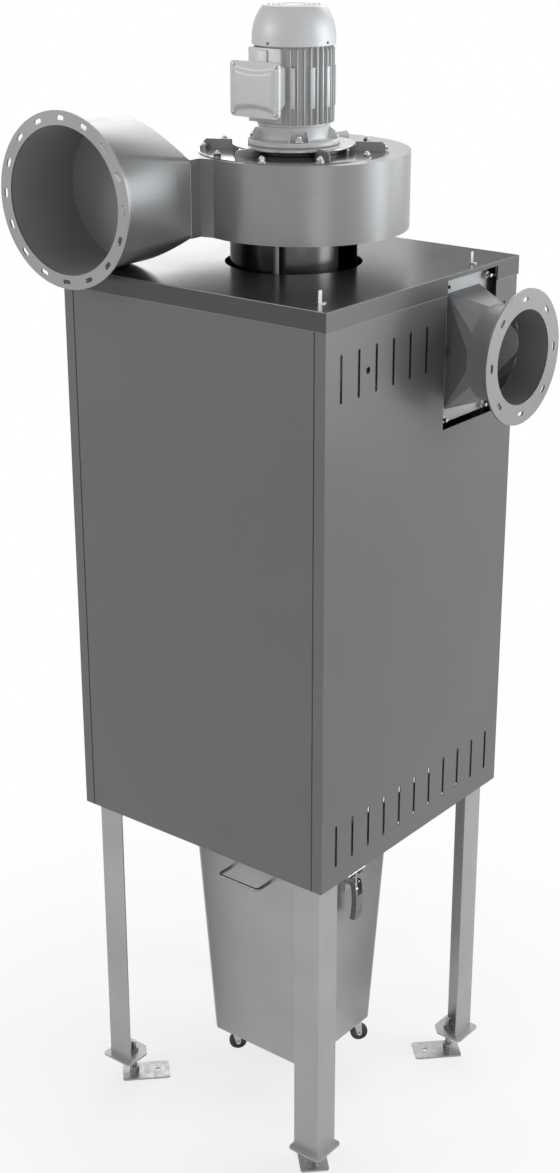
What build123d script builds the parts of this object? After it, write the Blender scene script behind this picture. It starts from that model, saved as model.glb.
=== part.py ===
"""Cyclone separator with a top-mounted fan, in millimetres.

The origin is on the floor under the cyclone's axis. +X is the inlet side,
-Y the outlet side, and +Z points up.
"""
import os
from math import acos, atan2, cos, degrees, hypot, radians, sin, sqrt

from build123d import *

os.makedirs("parts", exist_ok=True)

# Cabinet
cabinet_width = 900
cabinet_bottom = 1000
cabinet_height = 1636
panel_sheet = 2
skirt_height = 52.5
skirt_gap = 1
seam_gap = 1
corner_return = 34
lid_hole_radius = 190
bend_radius = 3

# Slots and holes in the panels
slot_pitch = 76
slot_height = 125
slot_width = 7
slot_edge = 60
bottom_slot_rise = 123.5
top_slot_drop = 183
cable_hole_radius = 9
cable_hole_y = -264
cable_hole_drop = 183
vent_hole_radius = 5
vent_hole_inset = 65
vent_hole_drop = 123

# Frame, corner posts and feet
frame_sheet = 3
frame_height = 40
frame_lift = 3
post_setback = 33
post_width = 86
post_sheet = 4
sole_width = 114
sole_overhang = 18
sole_thickness = 6
sole_top = 85
sole_corner_cut = 30
sole_corner_radius = 12
strip_length = 151
strip_width = 86
strip_thickness = 6
strip_end = 37
strip_corner_radius = 8
foot_angle = 45
anchor_radius = 9
anchor_setback = 106
spindle_radius = 8
spindle_setback = 52.5
spindle_top = 122
spindle_clearance = 1
nut_height = 13
nut_radius = 14
foot_boss_radius = 15
foot_boss_height = 22

# Cyclone
cyclone_sheet = 3
inlet_wide = 157
inlet_high = 320
inlet_y = 214
inlet_drop = 219.4
barrel_drop = 446
cone_rise = 35
dust_pipe_radius = 100
top_plate_overlap = 12

# Inlet hood
inlet_face_reach = 167
inlet_plate_setback = 29
inlet_plate_wide = 232
inlet_plate_high = 400
inlet_plate_sheet = 3
inlet_cut_wide = 248
inlet_cut_high = 414
inlet_hood_length = 100
inlet_bore = 260
inlet_flange_diameter = 372
inlet_slot_count = 8
inlet_bolt_inset = 16
inlet_bolt_radius = 5
inlet_bolt_length = 24

# Duct flanges
flange_thickness = 5
hood_sheet = 2
hood_corner = 5
hood_sides = 16
flange_slot_length = 26
flange_slot_width = 12

# Fan housing
scroll_height = 206
scroll_sheet = 2
plate_sheet = 3
volute_shift = 16.25
volute_first_radius = 285
volute_second_step = 48.5
volute_third_step = 41.25
tongue_x = -108
tongue_start_x = -69
tongue_drop = 8.3
neck_reach = 37
scroll_lip = 8
fan_inlet_radius = 124
pipe_sheet = 2
pipe_drop = 411
collar_radius = 175
collar_sheet = 2
collar_start_angle = 30
collar_end_angle = 291
collar_lip = 15

# Plates and ribs on the fan's top
back_plate_radius = 258
back_plate_sheet = 3
back_plate_bolts = 10
back_plate_bolt_ring_radius = 243
bolt_head_radius = 11
bolt_head_height = 9
rib_count = 6
rib_first_angle = 30
rib_thickness = 5
rib_height = 20
rib_inner = 150
rib_outer = 245
rib_chamfer = 9
motor_disc_radius = 169
motor_disc_gap = 5
motor_disc_sheet = 5
shaft_hole_radius = 22

# Fan wheel
wheel_radius = 195
wheel_width = 96
wheel_top_gap = 34
wheel_disc_sheet = 4
wheel_eye_radius = 118
wheel_shroud_rise = 26
wheel_shroud_sheet = 3
blade_count = 10
blade_sheet = 3
blade_inner_radius = 95
blade_lean_angle = 38
hub_radius = 32
hub_height = 42
shaft_radius = 14

# Outlet hood
outlet_shift = 86.5
outlet_gap = 1.5
outlet_lift = 3
outlet_bore = 389
outlet_face_reach = 87
outlet_pipe_length = 37
hood_edge_half = 113
hood_edge_angle = 30
outlet_flange_diameter = 464
outlet_slot_count = 16

# Motor
motor_flange_radius = 125
motor_flange_height = 14
motor_bolt_ring_radius = 107.5
motor_bolt_count = 4
motor_bolt_angle = 45
shield_bottom_radius = 90
shield_top_radius = 96
shield_height = 50
pocket_rise = 12
pocket_height = 26
pocket_width = 28
pocket_depth = 12
motor_core_radius = 97
motor_fin_radius = 109
motor_fin_width = 3
motor_fin_count = 36
motor_body_height = 190
bar_width = 13
bar_height = 104
bar_radius = 112
bar_count = 4
bar_step_angle = 27
bar_first_angle = -42
cowl_bottom_radius = 112
cowl_top_radius = 83
cowl_height = 110
cowl_edge_radius = 12
cowl_grille_gap = 5
cowl_grille_rings = 5
box_width = 150
box_height = 132
box_front_y = 160
box_rise = 97
box_cover_width = 162
box_cover_height = 142
box_cover_depth = 14
box_corner_radius = 14

# Dust bin
bin_bottom = 158
bin_gap = 158
bin_bottom_width = 362
bin_top_width = 429
bin_corner_radius = 22
bin_sheet = 2
bin_rim_width = 10
gasket_thickness = 3
gasket_width = 14
cover_sheet = 3
cover_gap = 1
cover_lip_height = 14
handle_width = 150
handle_reach = 58
handle_wire_radius = 5
handle_bend_radius = 14
handle_drop = 47

# Casters
caster_offset = 140
caster_height = 90
caster_wheel_radius = 30
caster_wheel_width = 22
caster_trail = 20
caster_turn_angle = 45
caster_plate_width = 56
caster_plate_sheet = 3
caster_race_radius = 18
caster_race_height = 8
fork_sheet = 2.5
fork_crown_radius = 21
fork_side_gap = 3
fork_width = 26
axle_radius = 4
running_gap = 0.3

# Toggle latches
latch_gap = 15.5
latch_drop = 85
latch_pin_radius = 3
latch_link_drop = 22
lever_width = 34
lever_depth = 18
lever_sheet = 2
lever_head = 10
lever_length = 121
lever_bow = 7
lever_window_drop = 44
ear_sheet = 3
ear_inner = 9
ear_radius = 7
base_height = 70
base_width = 26
base_sheet = 3
tee_rod_radius = 4
tee_bar_radius = 5
tee_bar_length = 90
tee_bar_rise = 39
tee_eye_radius = 6.5
tee_eye_width = 11
catch_width = 56
catch_slot = 14
catch_sheet = 4
catch_reach = 24

# Lid tabs
tab_width = 12
tab_height = 32
tab_sheet = 3
tab_foot = 16
front_tab_inset = 79
back_tab_inset = 44
back_tab_y = 268

# One overrun lets every cut pass through what it cuts
overrun = 2

# Faces of the cabinet that follow from the sizes above
cabinet_half = cabinet_width / 2
lid_top = cabinet_bottom + cabinet_height
lid_under = lid_top - panel_sheet
panel_face = cabinet_half - panel_sheet - skirt_gap
panel_inner = panel_face - panel_sheet
slot_rows_half = int((panel_face - slot_edge) // slot_pitch)
slot_row_bottom = cabinet_bottom + bottom_slot_rise
slot_row_top = lid_top - top_slot_drop
top_frame_z = lid_under - frame_height
post_corner = cabinet_half - post_setback
spindle_offset = post_corner - spindle_setback
anchor_offset = post_corner - anchor_setback
tab_places = [
    (cabinet_half - front_tab_inset, front_tab_inset - cabinet_half),
    (cabinet_half - back_tab_inset, back_tab_y),
]

# The cyclone hangs from the cabinet's top, and the bin's rim stays under its bottom
inlet_z = lid_top - inlet_drop
inlet_plate_x = cabinet_half - inlet_plate_setback
inlet_face_x = cabinet_half + inlet_face_reach
barrel_radius = inlet_y + inlet_wide / 2
barrel_bottom = lid_top - barrel_drop
pipe_depth = lid_top - pipe_drop
bin_top = cabinet_bottom - bin_gap
cover_under = bin_top + gasket_thickness
cone_bottom = cover_under + cone_rise

# The outlet pipe just clears the lid, and the fan and motor stand at its height
outlet_radius = outlet_bore / 2
outlet_z = lid_top + outlet_gap + hood_sheet + outlet_radius
neck_z = outlet_z - outlet_lift
scroll_floor_z = neck_z - scroll_height / 2
scroll_top = scroll_floor_z + scroll_height
back_plate_top = scroll_top + back_plate_sheet
motor_disc_top = back_plate_top + motor_disc_gap + motor_disc_sheet
motor_flange_top = motor_disc_top + motor_flange_height
shield_top = motor_flange_top + shield_height
motor_body_top = shield_top + motor_body_height
box_z = shield_top + box_rise

# The volute's three arcs share tangents, and each has its centre a step away
second_radius = volute_first_radius + volute_second_step
third_radius = second_radius + volute_third_step
second_centre_x = volute_shift - volute_second_step
third_centre_y = volute_shift - volute_third_step
scroll_left = second_centre_x - third_radius
tongue_start_y = volute_shift - sqrt(volute_first_radius**2 - (tongue_start_x - volute_shift) ** 2)
tongue_y = tongue_start_y - tongue_drop
neck_y = tongue_y - neck_reach
neck_wide = tongue_x - scroll_left
neck_x = (tongue_x + scroll_left) / 2
outlet_x = neck_x - outlet_shift
outlet_face_y = -cabinet_half - outlet_face_reach

corner_turns = {"back_right": 0, "back_left": 90, "front_left": 180, "front_right": 270}


def turned(turn, height):
    """A level plane at a height, turned about the vertical axis."""
    return Plane.XY.rotated((0, 0, turn)).offset(height)


def hood_ring(half_wide, half_high, radius):
    """Corner points of a hood's outline: a rectangle rounded by a many-sided ring."""
    points = []
    for side in range(hood_sides):
        angle = radians((side + 0.5) * 360 / hood_sides)
        across = half_wide if cos(angle) > 0 else -half_wide
        up = half_high if sin(angle) > 0 else -half_high
        points.append((across + radius * cos(angle), up + radius * sin(angle)))
    return points


def bin_half(height):
    """Half the bin's outer width at a height."""
    rise = (height - bin_bottom) / (bin_top - bin_bottom)
    return (bin_bottom_width + rise * (bin_top_width - bin_bottom_width)) / 2


# Lid: a square cap with a skirt, a round hole for the fan's neck and a notch for the inlet
with BuildPart() as lid:
    with BuildSketch(Plane.XY.offset(lid_top - skirt_height)):
        RectangleRounded(cabinet_width, cabinet_width, bend_radius)
    extrude(amount=skirt_height)
    fillet(lid.faces().sort_by(Axis.Z)[-1].edges(), radius=panel_sheet)
    with BuildSketch(Plane.XY.offset(lid_top - skirt_height)):
        Rectangle(cabinet_width - 2 * panel_sheet, cabinet_width - 2 * panel_sheet)
    extrude(amount=skirt_height - panel_sheet, mode=Mode.SUBTRACT)
    with Locations((0, 0, lid_top)):
        Hole(radius=lid_hole_radius)
    with BuildSketch(Plane.YZ.offset(panel_face)):
        with Locations((inlet_y, inlet_z)):
            Rectangle(inlet_cut_wide, inlet_cut_high)
    extrude(amount=cabinet_half - panel_face + overrun, mode=Mode.SUBTRACT)
lid.part.label = "lid"
export_step(lid.part, "parts/lid.step")

# Bent tabs that stand on the lid
with BuildPart() as lid_tabs:
    for tab_x, tab_y in tab_places:
        with BuildSketch(Plane.XZ.offset(-tab_y - tab_width / 2)):
            with BuildLine():
                Polyline(
                    (tab_x, lid_top),
                    (tab_x + tab_foot, lid_top),
                    (tab_x + tab_foot, lid_top + tab_sheet),
                    (tab_x + tab_sheet, lid_top + tab_sheet),
                    (tab_x + tab_sheet, lid_top + tab_height),
                    (tab_x, lid_top + tab_height),
                    close=True,
                )
            make_face()
        extrude(amount=tab_width)
lid_tabs.part.label = "lid_tabs"
export_step(lid_tabs.part, "parts/lid_tabs.step")

# Side panels wrap round the corners; the right one has the inlet's cut-out
panel_height = lid_under - cabinet_bottom
side_panels = {}
for side_name, side in (("right", 1), ("left", -1)):
    with BuildPart() as side_panel:
        with BuildSketch(Plane.XY.offset(cabinet_bottom)) as wrap:
            with Locations((side * (panel_face - corner_return / 2), 0)):
                Rectangle(corner_return, 2 * panel_face)
            fillet(wrap.vertices().sort_by(Axis.X, reverse=side > 0)[:2], radius=bend_radius)
            with Locations((side * (panel_inner - corner_return / 2), 0)):
                Rectangle(corner_return, 2 * panel_inner, mode=Mode.SUBTRACT)
        extrude(amount=panel_height)
        with BuildSketch(Plane.YZ.offset(side * panel_face)):
            with Locations((0, slot_row_bottom)):
                with GridLocations(slot_pitch, 0, 2 * slot_rows_half + 1, 1):
                    SlotOverall(slot_height, slot_width, rotation=90)
        extrude(amount=-side * (panel_sheet + overrun), mode=Mode.SUBTRACT)
        top_rows = range(-slot_rows_half, 1 if side > 0 else slot_rows_half + 1)
        with BuildSketch(Plane.YZ.offset(side * panel_face)):
            with Locations([(row * slot_pitch, slot_row_top) for row in top_rows]):
                SlotOverall(slot_height, slot_width, rotation=90)
        extrude(amount=-side * (panel_sheet + overrun), mode=Mode.SUBTRACT)
        if side > 0:
            with BuildSketch(Plane.YZ.offset(panel_face)):
                with Locations((inlet_y, inlet_z)):
                    Rectangle(inlet_cut_wide, inlet_cut_high)
                with Locations((cable_hole_y, lid_top - cable_hole_drop)):
                    Circle(cable_hole_radius)
                with Locations((panel_face - vent_hole_inset, lid_top - vent_hole_drop)):
                    Circle(vent_hole_radius)
            extrude(amount=-panel_sheet - overrun, mode=Mode.SUBTRACT)
    side_panel.part.label = f"side_panel_{side_name}"
    export_step(side_panel.part, f"parts/side_panel_{side_name}.step")

# Front and back panels lie flush between the side panels' returns
flat_panel_width = 2 * (panel_face - corner_return - seam_gap)
for panel_name, panel_y in (("front", -panel_face), ("back", panel_inner)):
    with BuildPart() as flat_panel:
        with BuildSketch(Plane.XY.offset(cabinet_bottom)):
            with Locations((0, panel_y + panel_sheet / 2)):
                Rectangle(flat_panel_width, panel_sheet)
        extrude(amount=panel_height)
    flat_panel.part.label = f"{panel_name}_panel"
    export_step(flat_panel.part, f"parts/{panel_name}_panel.step")

# Frames: angle bars round the posts that carry the panels' lower and upper edges
frame_half_in = panel_inner - frame_sheet
with BuildPart() as base_frame:
    with BuildSketch(Plane.XY.offset(cabinet_bottom + frame_lift)):
        Rectangle(2 * panel_inner, 2 * panel_inner)
    extrude(amount=frame_height)
    with BuildSketch(Plane.XY.offset(cabinet_bottom + frame_lift + frame_sheet)):
        Rectangle(2 * frame_half_in, 2 * frame_half_in)
    extrude(amount=frame_height, mode=Mode.SUBTRACT)
    with BuildSketch(Plane.XY.offset(cabinet_bottom + frame_lift)):
        Rectangle(2 * post_corner, 2 * post_corner)
    extrude(amount=frame_sheet, mode=Mode.SUBTRACT)
base_frame.part.label = "base_frame"
export_step(base_frame.part, "parts/base_frame.step")

with BuildPart() as top_frame:
    with BuildSketch(Plane.XY.offset(top_frame_z)):
        Rectangle(2 * panel_inner, 2 * panel_inner)
    extrude(amount=frame_height)
    with BuildSketch(Plane.XY.offset(top_frame_z + frame_sheet)):
        Rectangle(2 * frame_half_in, 2 * frame_half_in)
    extrude(amount=frame_height, mode=Mode.SUBTRACT)
    with BuildSketch(Plane.XY.offset(top_frame_z)):
        Rectangle(2 * (post_corner - post_width), 2 * (post_corner - post_width))
    extrude(amount=frame_sheet, mode=Mode.SUBTRACT)
    with BuildSketch(Plane.YZ.offset(inlet_plate_x - inlet_plate_sheet - top_plate_overlap)):
        with Locations((inlet_y, inlet_z)):
            Rectangle(inlet_cut_wide, inlet_cut_high)
    extrude(amount=cabinet_half, mode=Mode.SUBTRACT)
top_frame.part.label = "top_frame"
export_step(top_frame.part, "parts/top_frame.step")

# Corner posts: angles that run from sole plates up to the top frame
sole_centre = post_corner + sole_overhang - sole_width / 2
post_centre = post_corner - post_width / 2
for corner_name, turn in corner_turns.items():
    with BuildPart() as corner_post:
        with BuildSketch(turned(turn, sole_top)) as angle:
            with Locations((post_centre, post_centre)):
                Rectangle(post_width, post_width)
            fillet(angle.vertices().sort_by_distance(Axis.Z.position)[-1], radius=bend_radius)
            with Locations((post_centre - post_sheet, post_centre - post_sheet)):
                Rectangle(post_width, post_width, mode=Mode.SUBTRACT)
        extrude(amount=top_frame_z - sole_top)
        with BuildSketch(turned(turn, sole_top - sole_thickness)) as sole:
            with Locations((sole_centre, sole_centre)):
                Rectangle(sole_width, sole_width)
            by_reach = sole.vertices().sort_by_distance(turned(turn, sole_top - sole_thickness).origin)
            chamfer(by_reach[0], length=sole_corner_cut)
            fillet(by_reach[1:], radius=sole_corner_radius)
            with Locations((spindle_offset, spindle_offset)):
                Circle(spindle_radius + spindle_clearance, mode=Mode.SUBTRACT)
        extrude(amount=sole_thickness)
    corner_post.part.label = f"corner_post_{corner_name}"
    export_step(corner_post.part, f"parts/corner_post_{corner_name}.step")

# Levelling feet: an anchor strip on the floor and a spindle with two nuts
spindle_reach = spindle_offset * sqrt(2)
anchor_reach = anchor_offset * sqrt(2)
strip_reach = anchor_reach - strip_end + strip_length / 2
for corner_name, turn in corner_turns.items():
    with BuildPart() as levelling_foot:
        with BuildSketch(turned(turn + foot_angle, 0)):
            with Locations((strip_reach, 0)):
                RectangleRounded(strip_length, strip_width, strip_corner_radius)
            with Locations((anchor_reach, 0)):
                Circle(anchor_radius, mode=Mode.SUBTRACT)
        extrude(amount=strip_thickness)
        with BuildSketch(turned(turn + foot_angle, 0)):
            with Locations((spindle_reach, 0)):
                Circle(foot_boss_radius)
        extrude(amount=strip_thickness + foot_boss_height)
        with BuildSketch(turned(turn + foot_angle, 0)):
            with Locations((spindle_reach, 0)):
                Circle(spindle_radius)
        extrude(amount=spindle_top)
        for nut_bottom in (sole_top - sole_thickness - nut_height, sole_top):
            with BuildSketch(turned(turn + foot_angle, nut_bottom)):
                with Locations((spindle_reach, 0)):
                    RegularPolygon(nut_radius, 6)
            extrude(amount=nut_height)
    levelling_foot.part.label = f"levelling_foot_{corner_name}"
    export_step(levelling_foot.part, f"parts/levelling_foot_{corner_name}.step")

# Cyclone barrel with its tangential inlet duct
duct_end = inlet_plate_x - inlet_plate_sheet
with BuildPart() as barrel:
    with BuildSketch(Plane.XY.offset(barrel_bottom)):
        Circle(barrel_radius + cyclone_sheet)
    extrude(amount=top_frame_z + frame_sheet - barrel_bottom)
    with BuildSketch(Plane.YZ):
        with Locations((inlet_y, inlet_z)):
            Rectangle(inlet_wide + 2 * cyclone_sheet, inlet_high + 2 * cyclone_sheet)
    extrude(amount=duct_end)
    with BuildSketch(Plane.XY.offset(barrel_bottom - overrun)):
        Circle(barrel_radius)
    extrude(amount=cabinet_height, mode=Mode.SUBTRACT)
    with BuildSketch(Plane.YZ):
        with Locations((inlet_y, inlet_z)):
            Rectangle(inlet_wide, inlet_high)
    extrude(amount=duct_end + overrun, mode=Mode.SUBTRACT)
barrel.part.label = "cyclone_barrel"
export_step(barrel.part, "parts/cyclone_barrel.step")

# Cone and dust pipe, one revolved shell
with BuildPart() as cone:
    with BuildSketch(Plane.XZ):
        with BuildLine():
            Polyline(
                (barrel_radius, barrel_bottom),
                (dust_pipe_radius - cyclone_sheet, cone_bottom),
                (dust_pipe_radius - cyclone_sheet, cover_under + cover_sheet),
                (dust_pipe_radius, cover_under + cover_sheet),
                (dust_pipe_radius, cone_bottom),
                (barrel_radius + cyclone_sheet, barrel_bottom),
                close=True,
            )
        make_face()
    revolve(axis=Axis.Z)
cone.part.label = "cyclone_cone"
export_step(cone.part, "parts/cyclone_cone.step")

# Cyclone top plate, hung on the top frame's inner flange
top_plate_z = top_frame_z + frame_sheet
with BuildPart() as top_plate:
    with BuildSketch(Plane.XY.offset(top_plate_z)):
        Rectangle(2 * frame_half_in - 2 * skirt_gap, 2 * frame_half_in - 2 * skirt_gap)
        Circle(fan_inlet_radius + running_gap, mode=Mode.SUBTRACT)
        cut_x = inlet_plate_x - inlet_plate_sheet - top_plate_overlap
        with Locations((cut_x + cabinet_half / 2, inlet_y)):
            Rectangle(cabinet_half, inlet_cut_wide, mode=Mode.SUBTRACT)
    extrude(amount=plate_sheet)
top_plate.part.label = "cyclone_top_plate"
export_step(top_plate.part, "parts/cyclone_top_plate.step")

# Bin cover under the dust pipe, with a lip over the bin's rim
cover_half = bin_top_width / 2 + bin_rim_width + cover_gap + panel_sheet
with BuildPart() as bin_cover:
    with BuildSketch(Plane.XY.offset(cover_under + cover_sheet - cover_lip_height)):
        RectangleRounded(2 * cover_half, 2 * cover_half, bin_corner_radius + bin_rim_width)
    extrude(amount=cover_lip_height)
    with BuildSketch(Plane.XY.offset(cover_under + cover_sheet - cover_lip_height)):
        cover_inside = 2 * (cover_half - panel_sheet)
        RectangleRounded(cover_inside, cover_inside, bin_corner_radius + bin_rim_width - panel_sheet)
    extrude(amount=cover_lip_height - cover_sheet, mode=Mode.SUBTRACT)
    with Locations((0, 0, cover_under)):
        Hole(radius=dust_pipe_radius - cyclone_sheet)
bin_cover.part.label = "bin_cover"
export_step(bin_cover.part, "parts/bin_cover.step")

# Inlet hood: a bolted plate, a faceted rectangle-to-round hood and a short pipe
inlet_radius = inlet_bore / 2
inlet_pipe_x = inlet_plate_x + inlet_hood_length
inlet_flange_x = inlet_face_x - flange_thickness
with BuildPart() as inlet_hood:
    for sheet, join in ((hood_sheet, Mode.ADD), (0, Mode.SUBTRACT)):
        with BuildSketch(Plane.YZ.offset(inlet_plate_x)):
            with Locations((inlet_y, inlet_z)):
                half_wide = inlet_wide / 2 - hood_corner
                half_high = inlet_high / 2 - hood_corner
                Polygon(*hood_ring(half_wide, half_high, hood_corner + sheet))
        with BuildSketch(Plane.YZ.offset(inlet_pipe_x)):
            with Locations((inlet_y, inlet_z)):
                Polygon(*hood_ring(0, 0, inlet_radius + sheet))
        loft(ruled=True, mode=join)
    with BuildSketch(Plane.YZ.offset(inlet_pipe_x)):
        with Locations((inlet_y, inlet_z)):
            Circle(inlet_radius + hood_sheet)
            Circle(inlet_radius, mode=Mode.SUBTRACT)
    extrude(amount=inlet_flange_x - inlet_pipe_x)
    with BuildSketch(Plane.YZ.offset(duct_end)):
        with Locations((inlet_y, inlet_z)):
            Rectangle(inlet_plate_wide, inlet_plate_high)
            Rectangle(inlet_wide, inlet_high, mode=Mode.SUBTRACT)
    extrude(amount=inlet_plate_sheet)
inlet_hood.part.label = "inlet_hood"
export_step(inlet_hood.part, "parts/inlet_hood.step")

# Bolts through the inlet plate
bolt_span = inlet_plate_wide - 2 * inlet_bolt_inset
bolt_pitch = inlet_plate_high / 2 - inlet_bolt_inset
with BuildPart() as inlet_bolts:
    with BuildSketch(Plane.YZ.offset(inlet_plate_x)):
        with Locations((inlet_y, inlet_z)):
            with GridLocations(bolt_span, bolt_pitch, 2, 3):
                Circle(inlet_bolt_radius)
    extrude(amount=inlet_bolt_length)
    with BuildSketch(Plane.YZ.offset(inlet_plate_x)):
        with Locations((inlet_y, inlet_z)):
            with GridLocations(bolt_span, bolt_pitch, 2, 3):
                RegularPolygon(2 * inlet_bolt_radius, 6)
    extrude(amount=2 * inlet_bolt_radius)
inlet_bolts.part.label = "inlet_bolts"
export_step(inlet_bolts.part, "parts/inlet_bolts.step")

# Duct flanges: rings with slots along the bolt circle
with BuildPart() as inlet_flange:
    with BuildSketch(Plane.YZ.offset(inlet_flange_x)):
        with Locations((inlet_y, inlet_z)):
            Circle(inlet_flange_diameter / 2)
            Circle(inlet_radius, mode=Mode.SUBTRACT)
            with PolarLocations((inlet_flange_diameter + inlet_bore) / 4, inlet_slot_count):
                SlotOverall(flange_slot_length, flange_slot_width, rotation=90, mode=Mode.SUBTRACT)
    extrude(amount=flange_thickness)
inlet_flange.part.label = "inlet_flange"
export_step(inlet_flange.part, "parts/inlet_flange.step")

outlet_flange_y = outlet_face_y + flange_thickness
with BuildPart() as outlet_flange:
    with BuildSketch(Plane.XZ.offset(-outlet_flange_y)):
        with Locations((outlet_x, outlet_z)):
            Circle(outlet_flange_diameter / 2)
            Circle(outlet_radius, mode=Mode.SUBTRACT)
            with PolarLocations((outlet_flange_diameter + outlet_bore) / 4, outlet_slot_count):
                SlotOverall(flange_slot_length, flange_slot_width, rotation=90, mode=Mode.SUBTRACT)
    extrude(amount=flange_thickness)
outlet_flange.part.label = "outlet_flange"
export_step(outlet_flange.part, "parts/outlet_flange.step")

# Outlet hood: a round pipe whose right side runs out to the fan's neck, shut behind by a plate
outlet_pipe_y = outlet_face_y + outlet_pipe_length
hood_front = Plane(origin=(outlet_x, outlet_pipe_y, outlet_z), x_dir=(1, 0, 0), z_dir=(0, -1, 0))
hood_back = Plane(origin=(outlet_x, neck_y, outlet_z), x_dir=(1, 0, 0), z_dir=(0, -1, 0))


def hood_outline(sheet, at_neck):
    """The hood's outline: a circle, or at the neck a circle with tangents to an upright edge."""
    radius = outlet_radius + sheet
    edge_x = tongue_x - outlet_x - hood_sheet + sheet
    edge_top = hood_edge_half - outlet_lift - hood_sheet + sheet
    edge_low = -hood_edge_half - outlet_lift + hood_sheet - sheet
    top_angle = degrees(atan2(edge_top, edge_x) + acos(radius / hypot(edge_x, edge_top)))
    low_angle = degrees(atan2(edge_low, edge_x) - acos(radius / hypot(edge_x, edge_low)))
    upper = CenterArc((0, 0), radius, top_angle, 180 - top_angle)
    lower = CenterArc((0, 0), radius, 180, 180 + low_angle)
    if at_neck:
        Polyline(lower @ 1, (edge_x, edge_low), (edge_x, edge_top), upper @ 0)
    else:
        CenterArc((0, 0), radius, low_angle, -hood_edge_angle - low_angle)
        CenterArc((0, 0), radius, -hood_edge_angle, 2 * hood_edge_angle)
        CenterArc((0, 0), radius, hood_edge_angle, top_angle - hood_edge_angle)


with BuildPart() as outlet_hood:
    for sheet, join in ((hood_sheet, Mode.ADD), (0, Mode.SUBTRACT)):
        for section, at_neck in ((hood_front, False), (hood_back, True)):
            with BuildSketch(section):
                with BuildLine():
                    hood_outline(sheet, at_neck)
                make_face()
        loft(ruled=True, mode=join)
    with BuildSketch(hood_front):
        Circle(outlet_radius + hood_sheet)
        Circle(outlet_radius, mode=Mode.SUBTRACT)
    extrude(amount=outlet_pipe_y - outlet_flange_y)
    with BuildSketch(hood_back):
        with BuildLine():
            hood_outline(hood_sheet / 2, True)
        make_face()
        with Locations((neck_x - outlet_x, neck_z - outlet_z)):
            Rectangle(neck_wide - 2 * scroll_sheet, scroll_height - 2 * plate_sheet, mode=Mode.SUBTRACT)
    extrude(amount=hood_sheet)
outlet_hood.part.label = "outlet_hood"
export_step(outlet_hood.part, "parts/outlet_hood.step")


def volute_outline():
    """The scroll's outline from the neck's right edge round to its left edge."""
    tongue_start = (tongue_start_x, tongue_start_y)
    right = (volute_shift + volute_first_radius, volute_shift)
    back = (second_centre_x, volute_shift + second_radius)
    left = (scroll_left, third_centre_y)
    Polyline((tongue_x, neck_y), (tongue_x, tongue_y), tongue_start)
    RadiusArc(tongue_start, right, -volute_first_radius)
    RadiusArc(right, back, -second_radius)
    RadiusArc(back, left, -third_radius)
    Polyline(left, (scroll_left, neck_y), (tongue_x, neck_y))


# Fan scroll: the volute's wall, open at the neck
with BuildPart() as scroll_wall:
    with BuildSketch(Plane.XY.offset(scroll_floor_z + plate_sheet)):
        with BuildLine():
            volute_outline()
        make_face()
        offset(amount=-scroll_sheet, kind=Kind.INTERSECTION, mode=Mode.SUBTRACT)
        with Locations((neck_x, neck_y)):
            Rectangle(neck_wide - 2 * scroll_sheet, 2 * (scroll_sheet + overrun), mode=Mode.SUBTRACT)
    extrude(amount=scroll_height - 2 * plate_sheet)
scroll_wall.part.label = "scroll_wall"
export_step(scroll_wall.part, "parts/scroll_wall.step")

# Scroll floor with the wheel's eye, and scroll roof under the round back plate
for plate_name, plate_z, eye_radius in (
    ("scroll_floor", scroll_floor_z, fan_inlet_radius - pipe_sheet),
    ("scroll_roof", scroll_top - plate_sheet, wheel_radius + scroll_lip),
):
    with BuildPart() as scroll_plate:
        with BuildSketch(Plane.XY.offset(plate_z)):
            with BuildLine():
                volute_outline()
            make_face()
            Circle(eye_radius, mode=Mode.SUBTRACT)
        extrude(amount=plate_sheet)
    scroll_plate.part.label = plate_name
    export_step(scroll_plate.part, f"parts/{plate_name}.step")

# Pipe from the cyclone's core up into the fan
with BuildPart() as inlet_pipe:
    with BuildSketch(Plane.XY.offset(pipe_depth)):
        Circle(fan_inlet_radius)
        Circle(fan_inlet_radius - pipe_sheet, mode=Mode.SUBTRACT)
    extrude(amount=scroll_floor_z - pipe_depth)
inlet_pipe.part.label = "vortex_pipe"
export_step(inlet_pipe.part, "parts/vortex_pipe.step")

# Neck collar: a rolled sheet, open on one side, that carries the fan
with BuildPart() as neck_collar:
    with BuildSketch(Plane.XY.offset(top_plate_z + plate_sheet)):
        with BuildLine():
            collar_span_angle = collar_end_angle - collar_start_angle
            outer = CenterArc((0, 0), collar_radius, collar_start_angle, collar_span_angle)
            inner = CenterArc((0, 0), collar_radius - collar_sheet, collar_start_angle, collar_span_angle)
            Line(outer @ 0, inner @ 0)
            Line(outer @ 1, inner @ 1)
        make_face()
        lip_centre = collar_radius + collar_lip / 2 - collar_sheet
        with PolarLocations(lip_centre, 1, start_angle=collar_end_angle):
            Rectangle(collar_lip, collar_sheet)
    extrude(amount=scroll_floor_z - top_plate_z - plate_sheet)
neck_collar.part.label = "neck_collar"
export_step(neck_collar.part, "parts/neck_collar.step")

# Round back plate over the wheel, with its bolts
with BuildPart() as back_plate:
    with BuildSketch(Plane.XY.offset(scroll_top)):
        Circle(back_plate_radius)
        Circle(shaft_hole_radius, mode=Mode.SUBTRACT)
    extrude(amount=back_plate_sheet)
    with BuildSketch(Plane.XY.offset(back_plate_top)):
        with PolarLocations(back_plate_bolt_ring_radius, back_plate_bolts):
            RegularPolygon(bolt_head_radius, 6)
    extrude(amount=bolt_head_height)
back_plate.part.label = "back_plate"
export_step(back_plate.part, "parts/back_plate.step")

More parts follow.
